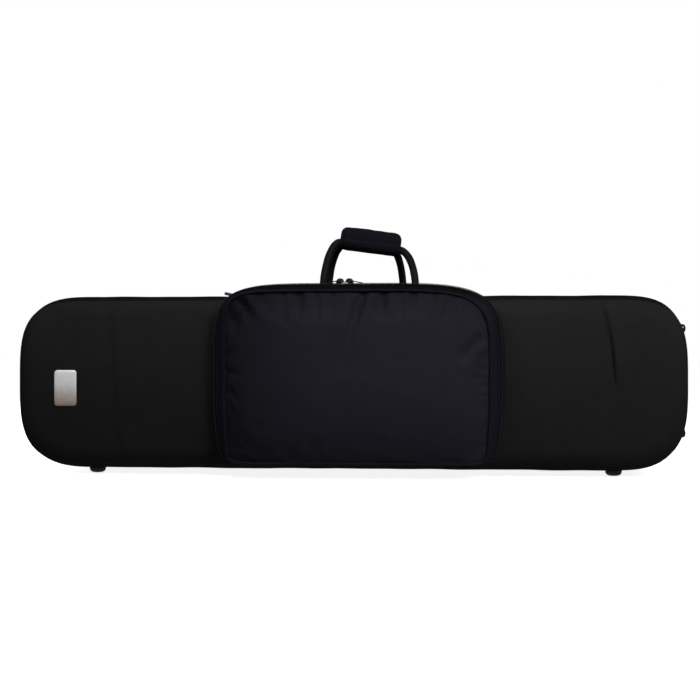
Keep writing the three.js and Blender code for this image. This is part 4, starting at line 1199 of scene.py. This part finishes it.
# Pocket cover: the front part of the pocket, which opens down on its bottom edge. A rolled shoulder
# runs from the zip to the piped seam. The panel is nylon over thin wadding, cut larger than its
# opening and gathered into the seam, so that it puffs out and wrinkles, most of all along the top.
edge_deep = profile_depths[-1]
seam_back = 0.0012
seam_tuck = 0.0022
cover_pucker = 0.00035
cover_pucker_depths = (0.150, 0.157)
panel_columns = 127
panel_rows_count = 81
panel_puff = 0.019
puff_left, puff_right, puff_top, puff_bottom = 1.6, 2.8, 5.0, 1.9
puff_power = 0.7
puff_rim_power = 20
panel_waviness = 0.0010
panel_unevenness = 0.0004
panel_pucker = 0.0006
panel_calm = 0.35
cloth_frames = 24
cloth_reach = 0.0045
cloth_pressure = 4.0
cloth_growth = 0.025
panel_corner_shares = {(side, level): share for side, level, share in seam_corner_shares}
panel_inset = 0.0008
panel_back = 0.003


def pocket_shoulder():
    """Rows from the zip to the piping as a closed skin, puckered at the seam by three sines of the run."""
    flat = np.linspace(pocket_zip + zip_gap, profile_depths[4], 7)
    deep = np.concatenate([flat, np.linspace(profile_depths[4], edge_deep, 12)[1:]])
    rows = pocket_rings(deep)
    share = smooth_step(*cover_pucker_depths, deep)[:, None]
    phase = pocket_run * pocket_round
    wave = 0.4 * np.sin(211 * phase) + 0.6 * np.sin(127 * phase + 0.7) + 0.8 * np.sin(37 * phase + 2)
    rows = rows + (share * cover_pucker * wave)[..., None] * (pocket_out + [0.0, -0.7, 0.0])
    tuck = rows[-1:] - seam_tuck * pocket_out + [0.0, 0.0014, 0.0]
    inner = rows[::-1] - pocket_skin * pocket_out + [0.0, seam_back, 0.0]
    inner[-1, :, 1] = rows[0, :, 1]
    return np.concatenate([rows, tuck, inner, rows[:1]])


def squared_round(u, v):
    """Unit places of a square grid in the seam's outline: squares go to superellipses of equal share."""
    shares = panel_corner_shares
    upper = np.where(u > 0, shares[1, 1], shares[-1, 1])
    share = np.where(v < 0, np.where(u > 0, shares[1, -1], shares[-1, -1]), upper)
    big = np.maximum(np.abs(u), np.abs(v)) + 1e-9
    shrink = big / ((np.abs(u) ** share + np.abs(v) ** share) ** (1 / share) + 1e-9)
    return u * shrink, v * shrink


def panel_start(columns, rows):
    """The panel before it settles: P ((1 - |u|^a)(1 - |v|^b))^p deep, with unlike a and b to each side."""
    u, v = np.meshgrid(np.linspace(-1, 1, columns), np.linspace(-1, 1, rows))
    wide, tall = squared_round(u, v)
    side, top, bottom, taper = (float(row[0, 0]) for row in pocket_profile(edge_deep))
    x, z = pocket_place(wide, tall, side - panel_inset, top - panel_inset, bottom - panel_inset, taper)
    across_power = np.where(wide < 0, puff_left, puff_right)
    up_power = np.where(tall < 0, puff_bottom, puff_top)
    rim = 1 - np.maximum(np.abs(u), np.abs(v)) ** puff_rim_power
    share = (1 - np.abs(wide) ** across_power) * (1 - np.abs(tall) ** up_power) * rim
    puff = panel_puff * share.clip(0) ** puff_power
    return u, v, np.stack([across + x, parting - (edge_deep - seam_back + puff), middle + z], axis=-1)


def settled(points, rim, frames, pressure, grow):
    """Where a cloth grid comes to rest when its rim is held, it is cut larger, and wadding presses it."""
    rows, columns = points.shape[:2]
    quads, _ = grid_quads(rows, columns, False)
    mesh = bpy.data.meshes.new("trial")
    mesh.from_pydata(points.reshape(-1, 3).tolist(), [], quads.tolist())
    trial = bpy.data.objects.new("trial", mesh)
    bpy.context.scene.collection.objects.link(trial)
    held = trial.vertex_groups.new(name="rim")
    held.add(np.flatnonzero(rim.ravel()).tolist(), 1.0, "REPLACE")
    cloth = trial.modifiers.new("cloth", "CLOTH")
    cloth.settings.quality = 6
    cloth.settings.mass = 0.25
    cloth.settings.tension_stiffness = 20
    cloth.settings.compression_stiffness = 20
    cloth.settings.shear_stiffness = 8
    cloth.settings.bending_stiffness = 0.8
    cloth.settings.air_damping = 4
    cloth.settings.vertex_group_mass = "rim"
    cloth.settings.shrink_min = -grow
    cloth.settings.effector_weights.gravity = 0
    cloth.settings.use_pressure = True
    cloth.settings.uniform_pressure_force = pressure
    cloth.point_cache.frame_start = 1
    cloth.point_cache.frame_end = frames
    for frame_number in range(1, frames + 1):
        bpy.context.scene.frame_set(frame_number)
    graph = bpy.context.evaluated_depsgraph_get()
    rest = trial.evaluated_get(graph).to_mesh()
    place = np.empty(rows * columns * 3, np.float32)
    rest.vertices.foreach_get("co", place)
    trial.evaluated_get(graph).to_mesh_clear()
    bpy.data.objects.remove(trial)
    bpy.context.scene.frame_set(1)
    return place.reshape(rows, columns, 3).astype(float)


def finer(values, times):
    """A grid of values on a grid some times as fine, by straight steps and then two light blurs."""
    for axis in (0, 1):
        count = values.shape[axis]
        at = np.linspace(0, count - 1, (count - 1) * times + 1)
        low = np.minimum(at.astype(int), count - 2)
        share = (at - low).reshape((-1, 1, 1) if axis == 0 else (1, -1, 1))
        values = np.take(values, low, axis) * (1 - share) + np.take(values, low + 1, axis) * share
    for _ in range(2):
        wide = np.pad(values, ((1, 1), (1, 1), (0, 0)), mode="edge")
        beside = wide[:-2, 1:-1] + wide[2:, 1:-1] + wide[1:-1, :-2] + wide[1:-1, 2:]
        values = (beside + 4 * wide[1:-1, 1:-1]) / 8
    return values


def bent_fold(x, z, start, knee, end, width, height):
    """A fold along a bent line: height (1 - s^2) exp(-(d / w)^2) at a distance d from it.

    s is the share of the way along the line, and w the width times 1 + 0.6 s.
    """
    start, knee, end = (np.array(p) for p in (start, knee, end))
    t = np.linspace(0, 1, 48)
    curve = ((1 - t) ** 2)[:, None] * start + (2 * t * (1 - t))[:, None] * knee + (t ** 2)[:, None] * end
    least = np.full(x.shape, np.inf)
    share = np.zeros(x.shape)
    for (px, pz), here in zip(curve, t):
        gap = (x - px) ** 2 + (z - pz) ** 2
        share = np.where(gap < least, here, share)
        least = np.minimum(gap, least)
    spread = width * (1 + 0.6 * share)
    return height * (1 - share ** 2) * np.exp(-least / spread ** 2)


top_gathers = (
    ((-0.148, 0.118), (-0.135, 0.098), (-0.118, 0.078), 0.006, -0.0046),
    ((-0.134, 0.121), (-0.120, 0.101), (-0.106, 0.086), 0.006, 0.0036),
    ((-0.118, 0.123), (-0.108, 0.108), (-0.099, 0.090), 0.006, -0.0040),
    ((-0.063, 0.125), (-0.060, 0.108), (-0.067, 0.090), 0.006, -0.0050),
    ((-0.051, 0.125), (-0.050, 0.110), (-0.056, 0.090), 0.006, 0.0032),
    ((-0.018, 0.126), (-0.017, 0.112), (-0.022, 0.096), 0.006, -0.0036),
    ((0.008, 0.126), (-0.004, 0.080), (-0.032, 0.010), 0.014, 0.0034),
    ((0.026, 0.126), (0.012, 0.080), (-0.013, 0.000), 0.0065, -0.0068),
    ((0.038, 0.126), (0.025, 0.084), (0.000, 0.014), 0.008, 0.0042),
    ((0.052, 0.126), (0.054, 0.110), (0.048, 0.094), 0.006, -0.0054),
    ((0.064, 0.126), (0.064, 0.110), (0.059, 0.094), 0.006, 0.0032),
    ((0.092, 0.125), (0.094, 0.108), (0.092, 0.092), 0.006, -0.0036),
    ((0.121, 0.123), (0.118, 0.106), (0.110, 0.088), 0.006, -0.0038),
    ((0.150, 0.118), (0.144, 0.100), (0.134, 0.080), 0.007, -0.0040),
    ((0.182, 0.060), (0.168, 0.044), (0.152, 0.030), 0.007, -0.0044),
    ((0.183, 0.044), (0.172, 0.028), (0.158, 0.014), 0.007, 0.0030),
    ((-0.163, 0.104), (-0.150, 0.080), (-0.138, 0.050), 0.009, -0.0044),
)


def pocket_panel():
    """The settled panel with its folds, and a plain back behind its rim."""
    _, _, coarse = panel_start(panel_columns, panel_rows_count)
    u, v, front = panel_start(2 * panel_columns - 1, 2 * panel_rows_count - 1)
    edge = 1 - np.maximum(np.abs(u), np.abs(v))
    rim = np.zeros(coarse.shape[:2], bool)
    rim[[0, -1], :] = True
    rim[:, [0, -1]] = True
    move = settled(coarse, rim, cloth_frames, cloth_pressure, cloth_growth) - coarse
    size = np.linalg.norm(move, axis=-1, keepdims=True) + 1e-9
    move = move * np.minimum(1, cloth_reach / size)
    lively = smooth_step(-0.9, 0.0, np.linspace(-1, 1, panel_rows_count))
    move = move * (panel_calm + (1 - panel_calm) * lively)[:, None, None]
    front = front + finer(move, 2)
    x, z = front[..., 0] - across, front[..., 2] - middle
    fold = sum(bent_fold(x, z, *gather) for gather in top_gathers)
    broad = panel_waviness * ripple(x, z, 0.16) + panel_unevenness * ripple(z, x, 0.05)
    pucker = np.sin(x / 0.0022 + 3 * np.sin(x / 0.03)) * np.exp(-(edge / 0.03) ** 2) * (v > 0)
    gathers = panel_pucker * pucker * smooth_step(0, 0.006, edge)
    front[..., 1] -= smooth_step(0.0, 0.035, edge) * (fold + broad) + gathers
    flat = np.stack([x, z], axis=-1)
    back = front.copy()
    back[..., 1] = parting - edge_deep + seam_back + panel_back * smooth_step(0.0, 0.04, edge)
    return [(front, False, flat), (back[:, ::-1], False, flat[:, ::-1])]


cover = add_shape("pocket_cover_shoulder", None, [pocket_shoulder()], pocket_nylon,
                  ["pocket_flap"])
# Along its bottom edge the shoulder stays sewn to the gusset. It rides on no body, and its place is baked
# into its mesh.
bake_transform(cover)
# Painted shade: the panel nylon is much darker over its left part, and darker towards its bottom and its top.
panel_nylon = cloth_material(
    "panel nylon", (30, 29, 38), (34, 33, 42), pitch=0.0007, relief=0.0002, roughness=0.65, specular=0.06,
    cloud=6.0, shade_fades=(("X", -0.185, -0.02, 0.42), ("Z", 0.02, 0.13, 0.76), ("Z", 0.262, 0.205, 0.68)))
panel = add_shape("pocket_cover_panel", "pocket_cover", pocket_panel(), panel_nylon)


# Piping: a cord wrapped in bias-cut nylon, caught in the seam round the panel.
piping_radius = 0.0018
piping_outset = 0.0006
piping_stand = 0.0010
piping_unevenness = 0.04
piping_cloth = cloth_material(
    "piping", (12, 12, 19), (19, 19, 27), pitch=0.0006, relief=0.0002, roughness=0.6,
    specular=0.08, lint=0.1)
piping_path = pocket_rings(edge_deep)[0] + piping_outset * pocket_out - [0.0, piping_stand, 0.0]
piping_lumps = 1 + piping_unevenness * np.sin(283 * pocket_run * pocket_round)
piping_tube = closed_tube(piping_path, piping_radius * piping_lumps, 12, (0.0, 1.0, 0.0))
add_shape("pocket_piping_cord", "pocket_cover", [piping_tube], piping_cloth, ["pocket_piping"],
          merge=2e-5)


# Pocket zip: the same coil zip in a smaller gauge, sewn to both edges of the pocket's opening from
# one lower corner, over the top, to the other.
small_tape = 0.0072
small_tape_thickness = 0.0012
small_tape_stand = 0.0009
small_pitch = 0.0016
small_coil_line = 0.0007
small_coil_stand = 0.0022
small_coil_half_sizes = (wire_share * small_pitch, 0.00115, 0.00078)
small_end_gap = 0.0015
small_seam = 0.0056
small_stitch_stand = 0.00155
small_tape_stitch = (0.0032, 0.0024)
pocket_part = part_of_outline(pocket_ring[:, 2] >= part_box("pocket_zip_chain_rear")[0].z + small_end_gap)
zip_outward = pocket_out[pocket_part]


def pocket_surface(deep, outset):
    """Points on part of the outline at each depth of the profile, stood off the cloth by outset."""
    rings = pocket_rings(deep)[:, pocket_part]
    return rings + np.asarray(outset)[:, None, None] * zip_outward


for name, body, side in (("rear", "front_half", -1), ("front", "pocket_cover", 1)):
    aside, rise = rounded_corners(small_tape - seam_gap, small_tape_thickness, 0.0003, 4)
    deep = pocket_zip + side * ((small_tape + seam_gap) / 2 + aside)
    strip = pocket_surface(deep, small_tape_stand + rise).transpose(1, 0, 2)
    add_shape(f"pocket_zip_tape_{name}", body, [capped(strip)], tape_cloth,
              [f"pocket_zip_chain_{name}"])
    line = pocket_surface([pocket_zip + side * small_coil_line], [small_coil_stand])[0]
    loops = coil(line, zip_outward, small_pitch, coil_lead * side, small_coil_half_sizes)
    add_shape(f"pocket_zip_coil_{name}", body, [loops], coil_nylon)
    line = pocket_surface([pocket_zip + side * small_seam], [small_stitch_stand])[0]
    sewn = stitches(line, zip_outward, False, *small_tape_stitch)
    add_shape(f"pocket_zip_stitches_{name}", body, [sewn], thread)


# Zip sliders and pulls: die-cast zinc with a gunmetal finish. The body straddles the coils, and the
# pull's bar passes through the bail on its back.
slider_metal = smooth_material(
    "slider gunmetal", colour(34, 40, 44, 0.75), colour(34, 40, 44), (0.4, 0.6), 120.0, {"Metallic": 1.0},
    span=(0.3, 0.7), relief=0.00003, strength=0.4)
full_length = 0.015
plate_shares = ((-0.5, -0.27), (-0.17, -0.43), (0.3, -0.43), (0.5, -0.36),
                (0.5, 0.36), (0.3, 0.43), (-0.17, 0.43), (-0.5, 0.27))
plate_thickness = 0.0019
plate_lift = 0.0021
flange_block = (0.0098, 0.0024, 0.0008)
flange_thickness = 0.0030
flange_place = (0.0025, 0.0046)
flange_lift = 0.0002
cap_half_sizes = (0.0063, 0.0030, 0.0056)
cap_lift = 0.0038
cap_power = 0.8
eye_size = (0.0072, 0.0066, 0.0016)
eye_wire = 0.00072
tab_size = (0.0160, 0.0078, 0.0030)
tab_place = 0.0148
tab_thickness = 0.0015
tab_narrowing = 0.10
tab_droop = 0.0030
pull_bar = 0.00075
cushion_inward = np.array([1.0, 0.5, 0.08, 0.02, 0.0, 0.0, 0.02, 0.08, 0.2, 0.45, 0.7, 1.0])
cushion_rise = np.array([0.0, 0.0, 0.0, 0.06, 0.2, 0.62, 0.80, 0.90, 0.95, 0.98, 1.0, 1.0])


def slider_body(share):
    """The slider's crowned plate, the flange over its rear coil, and the round cap over the pull's bar.

    All is in full-size metres and then times the share. The cap is a dome whose sine and cosine are
    raised to a power under 1.
    """
    rim = rounded_profile(plate_shares + plate_shares[:1], 49)[:-1] * full_length
    plate = drawn_in(rim, cushion_inward, cushion_rise * plate_thickness) + [0, 0, plate_lift]
    block = rounded_rectangle(*flange_block)
    flange = drawn_in(block, cushion_inward, cushion_rise * flange_thickness)
    flange = flange + [*flange_place, flange_lift / share]
    lean = np.concatenate([[math.pi / 2], np.linspace(0, math.pi / 2, 14)])[:, None]
    turn = np.linspace(0, 2 * math.pi, 32, endpoint=False)
    flat = np.cos(lean).clip(0) ** cap_power
    high = np.sin(lean) ** cap_power
    high[0] = 0
    cap = np.stack([flat * np.cos(turn), flat * np.sin(turn), high + 0 * turn], axis=-1)
    cap = cap * cap_half_sizes + [0, 0, cap_lift]
    return [share * sheet for sheet in (plate, flange, cap)]


def pull_tab(share):
    """The pull, reaching to +X from the middle of its bar: a closed wire eye and a cushioned tab."""
    eye = np.insert(rounded_rectangle(*eye_size, 8, 6) + [eye_size[0] / 2, 0], 2, 0, axis=1)
    rim = rounded_rectangle(*tab_size, 10, 10)
    rim[:, 1] *= 1 - tab_narrowing * rim[:, 0] / (tab_size[0] / 2)
    tab = drawn_in(rim, cushion_inward, cushion_rise * tab_thickness) + [tab_place, 0, -tab_thickness / 2]
    tab[..., 2] -= tab_droop * smooth_step(0.004, 0.022, tab[..., 0])
    return [share * sheet for sheet in (closed_tube(eye, eye_wire, 12), tab)]


for zip_name, share in (("main", 1.0), ("pocket", 0.8)):
    for end, way in (("left", -1), ("right", 1)):
        low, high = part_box(f"{zip_name}_pull_{end}")
        slider_low, slider_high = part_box(f"{zip_name}_slider_{end}")
        deep = (low.y + high.y) / 2
        bar = low.x + pull_bar * share if way > 0 else high.x - pull_bar * share
        parts = (("slider", slider_body(share), ((slider_low.x + slider_high.x) / 2, deep, slider_low.z)),
                 ("pull", pull_tab(share), (bar, deep, (low.z + high.z) / 2)))
        for part, sheets, origin in parts:
            placed = [sheet * (way, 1, 1) + origin for sheet in sheets]
            add_shape(f"{zip_name}_zip_{part}_{end}", f"{zip_name}_{end}_{part}", placed, slider_metal,
                      [f"{zip_name}_{part}_{end}"], sharp=70)


# Interior: the foam bed and the lining are soft foam under grey plush, cut and glued into the shells.
# The accessory box has a padded lid with a pull tab, and two straps keep the slide in its slot.
def plush_material():
    """Short pile: grey, with the pile brushed in patches and no gloss."""
    material, tree, shader, here, use = start_material(
        "plush lining", 16.0, {"Specular IOR Level": 0.1, "Sheen Weight": 0.35, "Sheen Roughness": 0.4})
    pile = noise(tree, here, 1500.0, 4.0)
    level = math_node(tree, "MULTIPLY_ADD", pile, 0.5, math_node(tree, "MULTIPLY", use["Rub"], 0.5))
    base = between(tree, ranged(tree, level, 0.38, 0.62, 0.0, 1.0), colour(38, 40, 46), colour(72, 75, 83))
    feed(tree, shader, base, ranged(tree, use["Cloud"], 0.0, 1.0, 0.85, 1.0), pile, 0.0006, 0.7)
    return material


plush = plush_material()
plush_passes = 5
strap_seams = (0.003, 0.0055)
strap_margin = 0.003
strap_stitch = (0.0026, 0.002)


def softened(node, name, voxel, passes):
    """A frame node's solid remeshed in even squares and smoothed, so that cut edges look like plush."""
    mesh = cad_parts[node].data.copy()
    mesh.name = name
    mesh.materials.clear()
    work = bmesh.new()
    work.from_mesh(mesh)
    bmesh.ops.remove_doubles(work, verts=work.verts, dist=1e-6)
    work.to_mesh(mesh)
    work.free()
    piece = bpy.data.objects.new(name, mesh)
    bpy.context.scene.collection.objects.link(piece)
    remesh = piece.modifiers.new("even", "REMESH")
    remesh.mode = "VOXEL"
    remesh.voxel_size = voxel
    smooth = piece.modifiers.new("soft", "SMOOTH")
    smooth.factor = 0.5
    smooth.iterations = passes
    bpy.context.view_layer.update()
    graph = bpy.context.evaluated_depsgraph_get()
    final = bpy.data.meshes.new_from_object(piece.evaluated_get(graph))
    piece.modifiers.clear()
    bpy.data.objects.remove(piece)
    final.shade_smooth()
    return final


for node, name, body, voxel in (("foam_bed", "foam_bed_plush", "rear_half", 0.0036),
                                ("lid_liner", "lid_lining_plush", "front_half", 0.004),
                                ("accessory_box_lid", "accessory_lid_plush", "accessory_lid", 0.0016)):
    piece = add_piece(name, body, softened(node, name, voxel, plush_passes), plush, [node])

for node, name, body in (("accessory_box_tab", "accessory_pull_tab", "accessory_lid"),
                         ("keeper_strap_left", "keeper_webbing_left", "left_keeper"),
                         ("keeper_strap_right", "keeper_webbing_right", "right_keeper")):
    low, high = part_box(node)
    centre = ((low.x + high.x) / 2, (low.y + high.y) / 2)
    line = np.linspace((*centre, low.z), (*centre, high.z), 24)
    strap = ribbon(line, np.array([[0.0, 1.0, 0.0]]), high.x - low.x, high.y - low.y, (1, 0, 0))
    add_shape(name, body, [strap], webbing_nylon, [node])
    near, far, face = low.x + strap_margin, high.x - strap_margin, low.y - stitch_lift
    lines = [np.linspace((near, face, low.z + up), (far, face, low.z + up), 8) for up in strap_seams]
    sewn = [stitches(line, (0, -1, 0), False, *strap_stitch) for line in lines]
    add_shape(f"{name}_stitches", body, sewn, thread)


# Studio: a pale floor, a white surround that is brighter overhead than at the sides, a soft light at
# the front right, a weaker one over the front and one behind, and the camera at the photograph's angle.
scene = bpy.context.scene
scene.view_settings.view_transform = "Standard"
scene.view_settings.look = "None"
world = bpy.data.worlds.new("white surround")
world.use_nodes = True
sky = world.node_tree
surround = sky.nodes["Background"]
surround.inputs["Color"].default_value = (1.0, 1.0, 1.0, 1.0)
direction = add_node(sky, "ShaderNodeTexCoord")
upward = add_node(sky, "ShaderNodeSeparateXYZ", {"Vector": direction.outputs["Generated"]}).outputs["Z"]
ceiling = ranged(sky, upward, 0.1, 0.9, 0.085, 0.14, "SMOOTHSTEP")
bounce = ranged(sky, upward, -0.9, 0.0, 0.25, 0.0)
seen = add_node(sky, "ShaderNodeLightPath").outputs["Is Camera Ray"]
around = math_node(sky, "ADD", ceiling, bounce)
level = add_node(sky, "ShaderNodeMix", {"Factor": seen, "A": around, "B": 1.0})
sky.links.new(level.outputs["Result"], surround.inputs["Strength"])
scene.world = world

floor_reach = 30.0
floor_mesh = bpy.data.meshes.new("floor")
floor_corners = [(floor_reach * x, floor_reach * y, 0) for x, y in ((-1, -1), (1, -1), (1, 1), (-1, 1))]
floor_mesh.from_pydata(floor_corners, [], [(0, 1, 2, 3)])
floor = bpy.data.objects.new("floor", floor_mesh)
scene.collection.objects.link(floor)
floor_paint = bpy.data.materials.new("floor paint")
floor_paint.use_nodes = True
floor_inputs = floor_paint.node_tree.nodes["Principled BSDF"].inputs
floor_inputs["Base Color"].default_value = (0.96, 0.96, 0.96, 1.0)
floor_inputs["Roughness"].default_value = 0.9
floor_inputs["Specular IOR Level"].default_value = 0.1
floor_inputs["Emission Color"].default_value = (1.0, 1.0, 1.0, 1.0)
floor_inputs["Emission Strength"].default_value = 0.88
floor_mesh.materials.append(floor_paint)
floor.visible_diffuse = False
floor.visible_glossy = False


def soft_light(name, place, aim, size, power, spread):
    """A square area light at a place, turned towards its aim, its beam narrowed to a spread in degrees."""
    data = bpy.data.lights.new(name, "AREA")
    data.size = size
    data.energy = power
    data.spread = math.radians(spread)
    light = bpy.data.objects.new(name, data)
    light.location = place
    direction = np.array(aim, float) - np.array(place, float)
    yaw = math.atan2(-direction[0], direction[1])
    pitch = math.acos(-direction[2] / np.linalg.norm(direction))
    light.rotation_euler = (pitch, 0, yaw)
    scene.collection.objects.link(light)
    return light


soft_light("soft light right", (1.25, -1.9, 1.5), (0.6, 0.0, 0.72), 1.2, 11.5, 70)
soft_light("soft light over", (-0.3, -0.6, 0.95), (-0.25, -0.1, 0.3), 0.7, 3, 140)
# The light from behind shows the rear half, and leaves no streak of gloss along the top from the front.
behind = soft_light("soft light behind", (-1.6, 2.2, 0.75), (0.0, 0.05, 0.15), 1.2, 20, 90)
behind.visible_glossy = False

camera_data = bpy.data.cameras.new("camera")
camera_data.sensor_width = 36
camera_data.lens = 62.8
camera = bpy.data.objects.new("camera", camera_data)
camera.location = (0.1230, -1.798, 0.179)
camera.rotation_euler = (math.radians(90), 0, math.radians(4))
scene.collection.objects.link(camera)
scene.camera = camera
